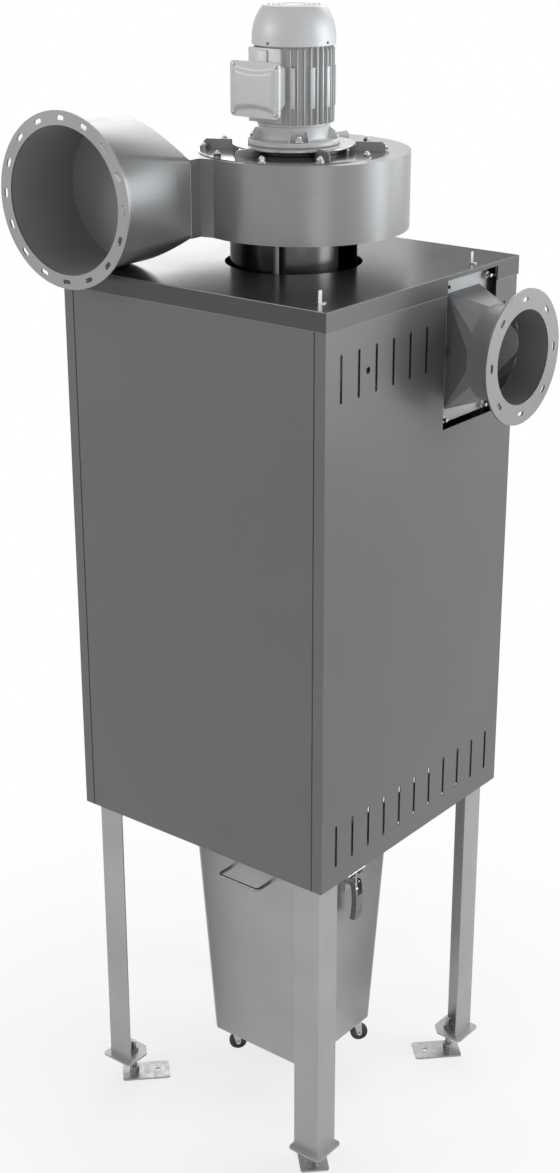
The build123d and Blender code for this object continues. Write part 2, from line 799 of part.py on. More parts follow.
# Radial ribs that stiffen the back plate and carry the motor disc
rib_step_z = back_plate_top + motor_disc_gap
with BuildPart() as back_plate_ribs:
    for rib in range(rib_count):
        rib_angle = rib_first_angle + rib * 360 / rib_count
        rib_plane = Plane.XZ.rotated((0, 0, rib_angle)).offset(-rib_thickness / 2)
        with BuildSketch(rib_plane):
            with BuildLine():
                Polyline(
                    (rib_inner, back_plate_top),
                    (rib_outer, back_plate_top),
                    (rib_outer, back_plate_top + rib_height - rib_chamfer),
                    (rib_outer - rib_chamfer, back_plate_top + rib_height),
                    (motor_disc_radius, back_plate_top + rib_height),
                    (motor_disc_radius, rib_step_z),
                    (rib_inner, rib_step_z),
                    close=True,
                )
            make_face()
        extrude(amount=rib_thickness)
back_plate_ribs.part.label = "back_plate_ribs"
export_step(back_plate_ribs.part, "parts/back_plate_ribs.step")

# Motor disc on the ribs
with BuildPart() as motor_disc:
    with BuildSketch(Plane.XY.offset(rib_step_z)):
        Circle(motor_disc_radius)
        Circle(shaft_hole_radius, mode=Mode.SUBTRACT)
    extrude(amount=motor_disc_sheet)
motor_disc.part.label = "motor_disc"
export_step(motor_disc.part, "parts/motor_disc.step")

# Fan wheel: back disc, shroud ring, backward-leaning blades, hub and shaft
wheel_top = scroll_top - wheel_top_gap
shroud_z = wheel_top - wheel_width
with BuildPart() as fan_wheel:
    with BuildSketch(Plane.XY.offset(wheel_top - wheel_disc_sheet)):
        Circle(wheel_radius)
    extrude(amount=wheel_disc_sheet)
    blade_span = wheel_radius - blade_inner_radius
    for blade in range(blade_count):
        blade_turn = blade * 360 / blade_count
        with BuildSketch(turned(blade_turn, shroud_z + wheel_shroud_rise)):
            with Locations(Location(((blade_inner_radius + blade_span / 2), 0, 0), (0, 0, blade_lean_angle))):
                Rectangle(blade_span, blade_sheet)
        extrude(amount=wheel_width - wheel_shroud_rise - wheel_disc_sheet)
    with BuildSketch(Plane.XZ):
        with BuildLine():
            Polyline(
                (wheel_eye_radius, shroud_z),
                (wheel_eye_radius + wheel_shroud_sheet, shroud_z),
                (wheel_radius, shroud_z + wheel_shroud_rise),
                (wheel_radius, shroud_z + wheel_shroud_rise + wheel_shroud_sheet),
                (wheel_eye_radius, shroud_z + wheel_shroud_sheet),
                close=True,
            )
        make_face()
    revolve(axis=Axis.Z)
    with BuildSketch(Plane.XY.offset(wheel_top - hub_height)):
        Circle(hub_radius)
    extrude(amount=hub_height + bolt_head_height)
    with BuildSketch(Plane.XY.offset(wheel_top)):
        Circle(shaft_radius)
    extrude(amount=motor_disc_top - wheel_top)
fan_wheel.part.label = "fan_wheel"
export_step(fan_wheel.part, "parts/fan_wheel.step")

# Motor flange and end shield
with BuildPart() as motor_shield:
    with BuildSketch(Plane.XY.offset(motor_disc_top)):
        Circle(motor_flange_radius)
    extrude(amount=motor_flange_height)
    with BuildSketch(Plane.XZ):
        with BuildLine():
            Polyline(
                (0, motor_flange_top),
                (shield_bottom_radius, motor_flange_top),
                (shield_top_radius, shield_top),
                (0, shield_top),
                close=True,
            )
        make_face()
    revolve(axis=Axis.Z)
    with BuildSketch(Plane.XY.offset(motor_flange_top)):
        with PolarLocations(motor_bolt_ring_radius, motor_bolt_count, start_angle=motor_bolt_angle):
            RegularPolygon(bolt_head_radius, 6)
    extrude(amount=bolt_head_height)
    with BuildSketch(Plane.XY.offset(motor_flange_top + pocket_rise)):
        with PolarLocations(shield_top_radius, motor_bolt_count, start_angle=motor_bolt_angle):
            Rectangle(2 * pocket_depth, pocket_width)
    extrude(amount=pocket_height, mode=Mode.SUBTRACT)
motor_shield.part.label = "motor_shield"
export_step(motor_shield.part, "parts/motor_shield.step")

# Finned motor body with thick upright bars among the fins
with BuildPart() as motor_body:
    with BuildSketch(Plane.XY.offset(shield_top)):
        Circle(motor_core_radius)
        fin_depth = motor_fin_radius - motor_core_radius + overrun
        with PolarLocations(motor_fin_radius - fin_depth / 2, motor_fin_count):
            Rectangle(fin_depth, motor_fin_width)
    extrude(amount=motor_body_height)
    bar_depth = bar_radius - motor_core_radius + overrun
    bar_span_angle = bar_count * bar_step_angle
    left_first_angle = 180 - bar_first_angle - bar_span_angle + bar_step_angle
    with BuildSketch(Plane.XY.offset(box_z - bar_height / 2)):
        for first_angle in (bar_first_angle, left_first_angle):
            with PolarLocations(
                bar_radius - bar_depth / 2, bar_count, start_angle=first_angle, angular_range=bar_span_angle
            ):
                Rectangle(bar_depth, bar_width)
    extrude(amount=bar_height)
motor_body.part.label = "motor_body"
export_step(motor_body.part, "parts/motor_body.step")

# Terminal box on the motor's front, with a pillowed cover
with BuildPart() as terminal_box:
    with BuildSketch(Plane.XZ.offset(motor_core_radius / 2)):
        with Locations((0, box_z)):
            RectangleRounded(box_width, box_height, box_corner_radius)
    extrude(amount=box_front_y - motor_core_radius / 2)
    with BuildSketch(Plane.XY.offset(shield_top)):
        Circle(motor_fin_radius + running_gap)
    extrude(amount=motor_body_height, mode=Mode.SUBTRACT)
terminal_box.part.label = "terminal_box"
export_step(terminal_box.part, "parts/terminal_box.step")

with BuildPart() as terminal_cover:
    with BuildSketch(Plane.XZ.offset(box_front_y)):
        with Locations((0, box_z)):
            RectangleRounded(box_cover_width, box_cover_height, box_corner_radius)
    extrude(amount=box_cover_depth)
    fillet(terminal_cover.faces().sort_by(Axis.Y)[0].edges(), radius=box_cover_depth / 2)
terminal_cover.part.label = "terminal_cover"
export_step(terminal_cover.part, "parts/terminal_cover.step")

# Fan cowl on the motor's top: a domed cap with ring slots
with BuildPart() as motor_cowl:
    with BuildSketch(Plane.XZ):
        with BuildLine():
            cowl_top = motor_body_top + cowl_height
            Line((0, motor_body_top), (cowl_bottom_radius, motor_body_top))
            flank_top = motor_body_top + cowl_edge_radius
            flank = Line((cowl_bottom_radius, motor_body_top), (cowl_bottom_radius, flank_top))
            dome = TangentArc(flank @ 1, (cowl_top_radius, cowl_top), tangent=(0, 1))
            Line(dome @ 1, (0, cowl_top))
            Line((0, cowl_top), (0, motor_body_top))
        make_face()
    revolve(axis=Axis.Z)
    ring_step = cowl_top_radius / (cowl_grille_rings + 2)
    with BuildSketch(Plane.XY.offset(cowl_top)):
        for ring in range(cowl_grille_rings):
            ring_radius = (ring + 2) * ring_step
            Circle(ring_radius)
            Circle(ring_radius - cowl_grille_gap, mode=Mode.SUBTRACT)
    extrude(amount=-cowl_grille_gap, mode=Mode.SUBTRACT)
motor_cowl.part.label = "motor_cowl"
export_step(motor_cowl.part, "parts/motor_cowl.step")

# Dust bin: a tapered pail with a turned-out rim
with BuildPart() as dust_bin:
    for sheet, floor_z, join in ((0, 0, Mode.ADD), (bin_sheet, bin_sheet, Mode.SUBTRACT)):
        for level, width in ((bin_bottom + floor_z, bin_bottom_width), (bin_top, bin_top_width)):
            with BuildSketch(Plane.XY.offset(level)):
                RectangleRounded(width - 2 * sheet, width - 2 * sheet, bin_corner_radius - sheet)
        loft(mode=join)
    with BuildSketch(Plane.XY.offset(bin_top - bin_sheet)):
        rim_width = bin_top_width + 2 * bin_rim_width
        RectangleRounded(rim_width, rim_width, bin_corner_radius + bin_rim_width)
        rim_bore = bin_top_width - 2 * bin_sheet
        RectangleRounded(rim_bore, rim_bore, bin_corner_radius - bin_sheet, mode=Mode.SUBTRACT)
    extrude(amount=bin_sheet)
dust_bin.part.label = "dust_bin"
export_step(dust_bin.part, "parts/dust_bin.step")

with BuildPart() as bin_gasket:
    with BuildSketch(Plane.XY.offset(bin_top)):
        gasket_outer = bin_top_width + bin_rim_width
        gasket_inner = gasket_outer - 2 * gasket_width
        RectangleRounded(gasket_outer, gasket_outer, bin_corner_radius)
        RectangleRounded(gasket_inner, gasket_inner, bin_corner_radius - gasket_width / 2, mode=Mode.SUBTRACT)
    extrude(amount=gasket_thickness)
bin_gasket.part.label = "bin_gasket"
export_step(bin_gasket.part, "parts/bin_gasket.step")

# Wire grab handle on the bin's front
handle_z = bin_top - handle_drop
handle_face = bin_half(handle_z + handle_wire_radius)
with BuildPart() as bin_handle:
    with BuildLine() as handle_path:
        FilletPolyline(
            (-handle_width / 2, -handle_face, handle_z),
            (-handle_width / 2, -handle_face - handle_reach, handle_z),
            (handle_width / 2, -handle_face - handle_reach, handle_z),
            (handle_width / 2, -handle_face, handle_z),
            radius=handle_bend_radius,
        )
    with BuildSketch(Plane(handle_path.line @ 0, z_dir=(0, -1, 0))):
        Circle(handle_wire_radius)
    sweep()
bin_handle.part.label = "bin_handle"
export_step(bin_handle.part, "parts/bin_handle.step")

# Caster plates and ball races, fixed under the bin
race_bottom = bin_bottom - caster_plate_sheet - caster_race_height
axle_z = bin_bottom - caster_height + caster_wheel_radius
crown_top = race_bottom - running_gap
with BuildPart() as caster_plates:
    with BuildSketch(Plane.XY.offset(bin_bottom)):
        with GridLocations(2 * caster_offset, 2 * caster_offset, 2, 2):
            Rectangle(caster_plate_width, caster_plate_width)
    extrude(amount=-caster_plate_sheet)
    with BuildSketch(Plane.XY.offset(bin_bottom)):
        with GridLocations(2 * caster_offset, 2 * caster_offset, 2, 2):
            Circle(caster_race_radius)
    extrude(amount=race_bottom - bin_bottom)
caster_plates.part.label = "caster_plates"
export_step(caster_plates.part, "parts/caster_plates.step")

# Caster forks and wheels, trailing the same way
fork_inside = caster_wheel_width / 2 + fork_side_gap
fork_outside = fork_inside + fork_sheet
for corner_name, turn in corner_turns.items():
    swivel_origin = turned(turn, 0).from_local_coords((caster_offset, caster_offset, 0))
    trail_direction = (cos(radians(caster_turn_angle)), sin(radians(caster_turn_angle)), 0)
    swivel = Plane(origin=swivel_origin, x_dir=trail_direction, z_dir=(0, 0, 1))
    side_plane = Plane(origin=swivel_origin, x_dir=trail_direction, z_dir=-swivel.y_dir)
    with BuildPart() as caster_fork:
        with BuildSketch(swivel.offset(crown_top)):
            Circle(fork_crown_radius)
        extrude(amount=-fork_sheet)
        for cheek in (-fork_outside, fork_inside):
            with BuildSketch(side_plane.offset(cheek)):
                with BuildLine():
                    Polyline(
                        (-fork_width / 2, crown_top),
                        (fork_width / 2, crown_top),
                        (caster_trail + fork_width / 4, axle_z),
                        (caster_trail - fork_width / 4, axle_z),
                        close=True,
                    )
                make_face()
                with Locations((caster_trail, axle_z)):
                    Circle(fork_width / 4)
            extrude(amount=fork_sheet)
        with BuildSketch(side_plane.offset(-fork_outside)):
            with Locations((caster_trail, axle_z)):
                Circle(axle_radius)
        extrude(amount=2 * fork_outside)
    caster_fork.part.label = f"caster_fork_{corner_name}"
    export_step(caster_fork.part, f"parts/caster_fork_{corner_name}.step")
    with BuildPart() as caster_wheel:
        with BuildSketch(side_plane.offset(-caster_wheel_width / 2)):
            with Locations((caster_trail, axle_z)):
                Circle(caster_wheel_radius)
                Circle(axle_radius + running_gap, mode=Mode.SUBTRACT)
        extrude(amount=caster_wheel_width)
    caster_wheel.part.label = f"caster_wheel_{corner_name}"
    export_step(caster_wheel.part, f"parts/caster_wheel_{corner_name}.step")

# Toggle latch on the right: base with ears, lever, tee hook, and the catch on the cover
latch_pivot_x = cover_half + latch_gap
latch_pivot_z = bin_top - latch_drop
link_z = latch_pivot_z - latch_link_drop
tee_bar_z = latch_pivot_z + tee_bar_rise
lever_face = latch_pivot_x + lever_depth / 2
lever_back = latch_pivot_x - lever_depth / 2
cheek_inside = lever_width / 2 - lever_sheet
ear_outer = ear_inner + ear_sheet

with BuildPart() as latch_base:
    with BuildSketch(Plane.XZ.offset(-base_width / 2)):
        with BuildLine():
            base_low = latch_pivot_z - base_height / 2
            base_high = latch_pivot_z + base_height / 2
            Polyline(
                (bin_half(base_low), base_low),
                (bin_half(base_low) + base_sheet, base_low),
                (bin_half(base_high) + base_sheet, base_high),
                (bin_half(base_high), base_high),
                close=True,
            )
        make_face()
    extrude(amount=base_width)
    for ear in (-ear_outer, ear_inner):
        with BuildSketch(Plane.XZ.offset(ear)):
            with Locations((latch_pivot_x, latch_pivot_z)):
                Circle(ear_radius)
            ear_root = bin_half(latch_pivot_z) + base_sheet / 2
            with Locations(((ear_root + latch_pivot_x) / 2, latch_pivot_z)):
                Rectangle(latch_pivot_x - ear_root, 2 * ear_radius)
        extrude(amount=ear_sheet)
    for stub in (-lever_width / 2, ear_inner):
        with BuildSketch(Plane.XZ.offset(stub)):
            with Locations((latch_pivot_x, latch_pivot_z)):
                Circle(latch_pin_radius)
        extrude(amount=lever_width / 2 - ear_inner)

with BuildPart() as latch_lever:
    head_z = latch_pivot_z + lever_head
    tip_z = latch_pivot_z - lever_length
    lever_shells = ((lever_width / 2, 0, Mode.ADD), (cheek_inside, lever_sheet, Mode.SUBTRACT))
    for half_width, web, join in lever_shells:
        with BuildSketch(Plane.XZ.offset(-half_width)):
            with BuildLine():
                bow_z = (head_z + tip_z) / 2
                bowed = ThreePointArc(
                    (lever_face - web, head_z),
                    (lever_face + lever_bow - web, bow_z),
                    (lever_face - web, tip_z + web),
                )
                back = ThreePointArc(
                    (lever_back - web, tip_z + web),
                    (lever_back + lever_bow - web, bow_z),
                    (lever_back - web, head_z),
                )
                Line(bowed @ 1, back @ 0)
                Line(back @ 1, bowed @ 0)
            make_face()
        extrude(amount=2 * half_width, mode=join)
    with BuildSketch(Plane.XZ.offset(-cheek_inside)):
        with Locations((lever_face, head_z - lever_window_drop / 2)):
            Rectangle(2 * lever_depth, lever_window_drop + 2 * overrun)
    extrude(amount=2 * cheek_inside, mode=Mode.SUBTRACT)
    with BuildSketch(Plane.XZ.offset(-lever_width / 2 - overrun)):
        with Locations((latch_pivot_x, latch_pivot_z)):
            Circle(latch_pin_radius + running_gap)
    extrude(amount=lever_width + 2 * overrun, mode=Mode.SUBTRACT)
    with BuildSketch(Plane.XZ.offset(-lever_width / 2)):
        with Locations((latch_pivot_x, link_z)):
            Circle(latch_pin_radius)
    extrude(amount=lever_width)

with BuildPart() as latch_tee:
    with BuildSketch(Plane.XZ.offset(-tee_eye_width / 2)):
        with Locations((latch_pivot_x, link_z)):
            Circle(tee_eye_radius)
    extrude(amount=tee_eye_width)
    with BuildSketch(Plane.XY.offset(link_z)):
        with Locations((latch_pivot_x, 0)):
            Circle(tee_rod_radius)
    extrude(amount=tee_bar_z - link_z)
    with BuildSketch(Plane.XZ.offset(-tee_bar_length / 2)):
        with Locations((latch_pivot_x, tee_bar_z)):
            Circle(tee_bar_radius)
    extrude(amount=tee_bar_length)
    with BuildSketch(Plane.XZ.offset(-lever_width / 2)):
        with Locations((latch_pivot_x, link_z)):
            Circle(latch_pin_radius + running_gap)
    extrude(amount=lever_width, mode=Mode.SUBTRACT)

with BuildPart() as latch_catch:
    catch_top = tee_bar_z - tee_bar_radius - running_gap
    with BuildSketch(Plane.XZ.offset(-catch_width / 2)):
        with BuildLine():
            Polyline(
                (cover_half, catch_top - catch_sheet),
                (cover_half + catch_reach, catch_top - catch_sheet),
                (cover_half + catch_reach, catch_top),
                (cover_half + catch_sheet, catch_top),
                (cover_half + catch_sheet, cover_under + cover_sheet),
                (cover_half, cover_under + cover_sheet),
                close=True,
            )
        make_face()
    extrude(amount=catch_width)
    with BuildSketch(Plane.XY.offset(catch_top - catch_sheet - overrun)):
        with Locations((cover_half + catch_sheet + catch_reach, 0)):
            Rectangle(2 * catch_reach, catch_slot)
    extrude(amount=catch_sheet + 2 * overrun, mode=Mode.SUBTRACT)

# The latch's mirror image works the left side
latch_pieces = {
    "latch_base": latch_base,
    "latch_lever": latch_lever,
    "latch_tee": latch_tee,
    "latch_catch": latch_catch,
}
for piece_name, piece in latch_pieces.items():
    piece.part.label = f"{piece_name}_right"
    export_step(piece.part, f"parts/{piece_name}_right.step")
    with BuildPart() as left_piece:
        mirror(piece.part, about=Plane.YZ)
    left_piece.part.label = f"{piece_name}_left"
    export_step(left_piece.part, f"parts/{piece_name}_left.step")
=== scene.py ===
"""Looks of the cyclone separator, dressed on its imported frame.

Lengths are in metres on the frame's own axes: +Z up, -Y the outlet side, +X the inlet side.
"""
import math

import bmesh
import bpy
from mathutils import Matrix, Vector


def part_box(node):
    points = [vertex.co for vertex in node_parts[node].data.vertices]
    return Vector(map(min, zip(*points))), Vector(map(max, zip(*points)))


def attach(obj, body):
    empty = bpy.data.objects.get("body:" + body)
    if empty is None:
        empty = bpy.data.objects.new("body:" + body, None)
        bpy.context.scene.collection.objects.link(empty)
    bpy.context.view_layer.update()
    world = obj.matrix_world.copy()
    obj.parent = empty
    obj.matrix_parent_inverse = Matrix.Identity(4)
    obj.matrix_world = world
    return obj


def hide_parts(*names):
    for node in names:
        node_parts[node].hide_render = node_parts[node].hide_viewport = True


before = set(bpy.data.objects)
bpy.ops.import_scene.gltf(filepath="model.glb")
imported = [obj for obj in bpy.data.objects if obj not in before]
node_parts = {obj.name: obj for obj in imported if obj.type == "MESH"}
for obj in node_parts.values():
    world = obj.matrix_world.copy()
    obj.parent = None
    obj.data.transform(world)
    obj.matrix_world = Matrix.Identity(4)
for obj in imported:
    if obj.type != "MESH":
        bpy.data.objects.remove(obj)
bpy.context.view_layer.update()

# Camera fitted to the photograph
CAMERA_AZIMUTH = 38.124
CAMERA_ELEVATION = 21.424
CAMERA_PLACE = (3.1112, -3.9966, 3.6727)
CAMERA_LENS = 56.75
CAMERA_SENSOR = 36
CAMERA_SHIFT = (-0.0055, -0.0042)

# Shared by several pieces
CORNERS = {"back_right": (1, 1), "back_left": (-1, 1), "front_left": (-1, -1), "front_right": (1, -1)}
FAN_PLATE_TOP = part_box("back_plate_ribs")[0][2]
COWL_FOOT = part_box("motor_cowl")[0][2]
COWL_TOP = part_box("motor_cowl")[1][2]
BODY = "separator"
UPRIGHT = Matrix.Identity(4)
SMOOTH_SIDES = 96


def polar(radius, turn):
    """Point of a circle about zero, at a turn in degrees."""
    return radius * math.cos(math.radians(turn)), radius * math.sin(math.radians(turn))


# ---- studio

def add_camera():
    """The photograph's own view, with a level horizon."""
    data = bpy.data.cameras.new("camera")
    data.sensor_width = CAMERA_SENSOR
    data.lens = CAMERA_LENS
    data.shift_x, data.shift_y = CAMERA_SHIFT
    camera = bpy.data.objects.new("camera", data)
    bpy.context.scene.collection.objects.link(camera)
    camera.location = CAMERA_PLACE
    camera.rotation_euler = (math.radians(90 - CAMERA_ELEVATION), 0, math.radians(CAMERA_AZIMUTH))
    bpy.context.scene.camera = camera


def add_lamp(name, place, target, size, watts, colour=(1, 1, 1)):
    """A soft lamp, wide by high, that points at a target and isn't seen itself."""
    data = bpy.data.lights.new(name, "AREA")
    data.shape = "RECTANGLE"
    data.size, data.size_y = size
    data.energy = watts
    data.color = colour
    lamp = bpy.data.objects.new(name, data)
    bpy.context.scene.collection.objects.link(lamp)
    lamp.location = place
    lamp.rotation_euler = (Vector(target) - Vector(place)).to_track_quat("-Z", "Y").to_euler()
    lamp.visible_camera = False


def white_to_eye(tree):
    """1 for rays from the camera or off a mirror or glass, which see the white background."""
    path = tree.nodes.new("ShaderNodeLightPath")
    total = path.outputs["Is Camera Ray"]
    for kind in ("Is Glossy Ray", "Is Transmission Ray"):
        either = tree.nodes.new("ShaderNodeMath")
        either.operation = "ADD"
        either.use_clamp = True
        tree.links.new(total, either.inputs[0])
        tree.links.new(path.outputs[kind], either.inputs[1])
        total = either.outputs[0]
    return total


ROOM_LIGHT = 0.55


def add_world():
    """White behind the object, and a softer pale light from all round on it."""
    world = bpy.data.worlds.new("studio")
    world.use_nodes = True
    bpy.context.scene.world = world
    tree = world.node_tree
    tree.nodes.clear()
    white = tree.nodes.new("ShaderNodeBackground")
    white.inputs["Color"].default_value = (1, 1, 1, 1)
    white.inputs["Strength"].default_value = 1.0
    soft = tree.nodes.new("ShaderNodeBackground")
    soft.inputs["Color"].default_value = (0.96, 0.98, 1, 1)
    soft.inputs["Strength"].default_value = ROOM_LIGHT
    mix = tree.nodes.new("ShaderNodeMixShader")
    tree.links.new(white_to_eye(tree), mix.inputs[0])
    tree.links.new(soft.outputs[0], mix.inputs[1])
    tree.links.new(white.outputs[0], mix.inputs[2])
    out = tree.nodes.new("ShaderNodeOutputWorld")
    tree.links.new(mix.outputs[0], out.inputs["Surface"])


def add_floor():
    """A pale floor that keeps the shadow near the feet and turns to white further out."""
    reach = 30
    fade_start, fade_end = 0.4, 2.2
    white_near, white_far = 0.72, 1.0
    corners = [(-reach, -reach, 0), (reach, -reach, 0), (reach, reach, 0), (-reach, reach, 0)]
    mesh = bpy.data.meshes.new("floor")
    mesh.from_pydata(corners, [], [(0, 1, 2, 3)])
    floor = bpy.data.objects.new("floor", mesh)
    bpy.context.scene.collection.objects.link(floor)
    material = bpy.data.materials.new("pale_floor")
    material.use_nodes = True
    tree = material.node_tree
    tree.nodes.remove(tree.nodes["Principled BSDF"])
    pale = tree.nodes.new("ShaderNodeBsdfDiffuse")
    pale.inputs["Color"].default_value = (0.86, 0.86, 0.86, 1)
    white = tree.nodes.new("ShaderNodeEmission")
    white.inputs["Strength"].default_value = 1.0
    place = tree.nodes.new("ShaderNodeTexCoord")
    distance = tree.nodes.new("ShaderNodeVectorMath")
    distance.operation = "LENGTH"
    tree.links.new(place.outputs["Object"], distance.inputs[0])
    fade = tree.nodes.new("ShaderNodeMapRange")
    fade.interpolation_type = "SMOOTHSTEP"
    fade.inputs["From Min"].default_value = fade_start
    fade.inputs["From Max"].default_value = fade_end
    fade.inputs["To Min"].default_value = white_near
    fade.inputs["To Max"].default_value = white_far
    tree.links.new(distance.outputs["Value"], fade.inputs["Value"])
    share = tree.nodes.new("ShaderNodeMath")
    share.operation = "MULTIPLY"
    tree.links.new(white_to_eye(tree), share.inputs[0])
    tree.links.new(fade.outputs["Result"], share.inputs[1])
    mix = tree.nodes.new("ShaderNodeMixShader")
    tree.links.new(share.outputs[0], mix.inputs[0])
    tree.links.new(pale.outputs[0], mix.inputs[1])
    tree.links.new(white.outputs[0], mix.inputs[2])
    tree.links.new(mix.outputs[0], tree.nodes["Material Output"].inputs["Surface"])
    mesh.materials.append(material)


def add_card(name, centre, width, height):
    """A grey card out of the camera's sight, facing the machine's top, that bright metal mirrors."""
    mesh = bpy.data.meshes.new(name)
    aim_height = 2.9
    turn = (Vector((0, 0, aim_height)) - Vector(centre)).to_track_quat("-Z", "Y")
    card_frame = Matrix.Translation(centre) @ turn.to_matrix().to_4x4()
    signs = ((-1, -1), (1, -1), (1, 1), (-1, 1))
    corners = [card_frame @ Vector((x * width / 2, y * height / 2, 0)) for x, y in signs]
    mesh.from_pydata([tuple(corner) for corner in corners], [], [(0, 1, 2, 3)])
    card = bpy.data.objects.new(name, mesh)
    bpy.context.scene.collection.objects.link(card)
    material, tree, shader, place = start_finish(f"{name}_felt", (0.3, 0.3, 0.3), 0.0, 0.9)
    tint(tree, shader, cloud(tree, place, 30), (0.28, 0.28, 0.28), (0.32, 0.32, 0.32))
    mesh.materials.append(material)
    card.visible_camera = False


# ---- finishes

def start_finish(name, colour, metallic, roughness):
    """A new material and the object's own coordinates in it."""
    material = bpy.data.materials.new(name)
    material.use_nodes = True
    tree = material.node_tree
    shader = tree.nodes["Principled BSDF"]
    shader.inputs["Base Color"].default_value = (*colour, 1)
    shader.inputs["Metallic"].default_value = metallic
    shader.inputs["Roughness"].default_value = roughness
    place = tree.nodes.new("ShaderNodeTexCoord")
    return material, tree, shader, place.outputs["Object"]


def cloud(tree, place, cycles, stretch=(1, 1, 1), detail=3.0):
    """Noise over the surface, with cycles per metre and a stretch along the axes."""
    mapping = tree.nodes.new("ShaderNodeMapping")
    mapping.inputs["Scale"].default_value = stretch
    tree.links.new(place, mapping.inputs["Vector"])
    noise = tree.nodes.new("ShaderNodeTexNoise")
    noise.inputs["Scale"].default_value = cycles
    noise.inputs["Detail"].default_value = detail
    tree.links.new(mapping.outputs[0], noise.inputs["Vector"])
    return noise.outputs["Fac"]


NOISE_LOW = 0.2
NOISE_HIGH = 0.8


def spread(tree, value, low, high):
    """A value eased from the noise's usual range to a low and a high."""
    node = tree.nodes.new("ShaderNodeMapRange")
    node.interpolation_type = "SMOOTHSTEP"
    node.inputs["From Min"].default_value = NOISE_LOW
    node.inputs["From Max"].default_value = NOISE_HIGH
    node.inputs["To Min"].default_value = low
    node.inputs["To Max"].default_value = high
    tree.links.new(value, node.inputs["Value"])
    return node.outputs["Result"]


def tint(tree, shader, value, dark, light):
    """Base colour between a dark and a light shade."""
    mix = tree.nodes.new("ShaderNodeMix")
    mix.data_type = "RGBA"
    mix.inputs["A"].default_value = (*dark, 1)
    mix.inputs["B"].default_value = (*light, 1)
    tree.links.new(spread(tree, value, 0, 1), mix.inputs["Factor"])
    tree.links.new(mix.outputs["Result"], shader.inputs["Base Color"])


def gloss(tree, shader, value, smoothest, roughest):
    """Roughness between a smoother and a rougher value."""
    tree.links.new(spread(tree, value, smoothest, roughest), shader.inputs["Roughness"])


def grain(tree, shader, height, distance, strength):
    """Fine relief from a height value."""
    bump = tree.nodes.new("ShaderNodeBump")
    bump.inputs["Strength"].default_value = strength
    bump.inputs["Distance"].default_value = distance
    tree.links.new(height, bump.inputs["Height"])
    tree.links.new(bump.outputs[0], shader.inputs["Normal"])


def shade(colour, factor):
    """A darker or lighter shade of a colour."""
    return tuple(channel * factor for channel in colour)


def coated_sheet(name, colour, metallic, roughness):
    """Satin coating on sheet steel, with faint clouds of tone and gloss."""
    material, tree, shader, place = start_finish(name, colour, metallic, roughness)
    tint(tree, shader, cloud(tree, place, 2.2), shade(colour, 0.96), shade(colour, 1.04))
    gloss(tree, shader, cloud(tree, place, 5, detail=1.0), roughness - 0.01, roughness + 0.02)
    return material


def brushed_sheet(name, colour, metallic, roughness, stretch=(1, 1, 1)):
    """Sheet with a fine drawn grain along one axis and cloudy handling marks."""
    material, tree, shader, place = start_finish(name, colour, metallic, roughness)
    lines = cloud(tree, place, 260, stretch, detail=2.0)
    tint(tree, shader, cloud(tree, place, 5), shade(colour, 0.94), shade(colour, 1.06))
    gloss(tree, shader, lines, roughness - 0.02, roughness + 0.02)
    grain(tree, shader, lines, 0.00004, 0.04)
    return material


def zinc_sheet(name, colour, roughness):
    """Galvanised sheet with the soft flakes of its spangle, about 12 mm across."""
    material, tree, shader, place = start_finish(name, colour, 1.0, roughness)
    flakes = tree.nodes.new("ShaderNodeTexVoronoi")
    flakes.inputs["Scale"].default_value = 85
    tree.links.new(place, flakes.inputs["Vector"])
    grey = tree.nodes.new("ShaderNodeSeparateColor")
    tree.links.new(flakes.outputs["Color"], grey.inputs["Color"])
    tint(tree, shader, grey.outputs["Red"], shade(colour, 0.93), shade(colour, 1.07))
    gloss(tree, shader, grey.outputs["Green"], roughness - 0.05, roughness + 0.05)
    grain(tree, shader, cloud(tree, place, 300, detail=2.0), 0.0001, 0.1)
    return material


def cast_paint(name, colour, roughness):
    """Enamel on castings: a soft orange peel over the sand's texture."""
    material, tree, shader, place = start_finish(name, colour, 0.25, roughness)
    tint(tree, shader, cloud(tree, place, 9), shade(colour, 0.96), shade(colour, 1.04))
    gloss(tree, shader, cloud(tree, place, 60), roughness - 0.04, roughness + 0.05)
    grain(tree, shader, cloud(tree, place, 700), 0.00018, 0.25)
    return material


def plated_steel(name, colour, roughness):
    """Bright plating on small hardware, with turning marks and a cloudy passivation."""
    material, tree, shader, place = start_finish(name, colour, 1.0, roughness)
    tint(tree, shader, cloud(tree, place, 70), shade(colour, 0.88), shade(colour, 1.1))
    gloss(tree, shader, cloud(tree, place, 240), roughness - 0.06, roughness + 0.1)
    grain(tree, shader, cloud(tree, place, 900, detail=2.0), 0.00006, 0.15)
    return material


def rubber(name, colour, roughness):
    """Matt rubber with moulding speckle and a dusty bloom."""
    material, tree, shader, place = start_finish(name, colour, 0.0, roughness)
    tint(tree, shader, cloud(tree, place, 40), shade(colour, 0.7), shade(colour, 1.8))
    grain(tree, shader, cloud(tree, place, 1200), 0.0002, 0.35)
    return material


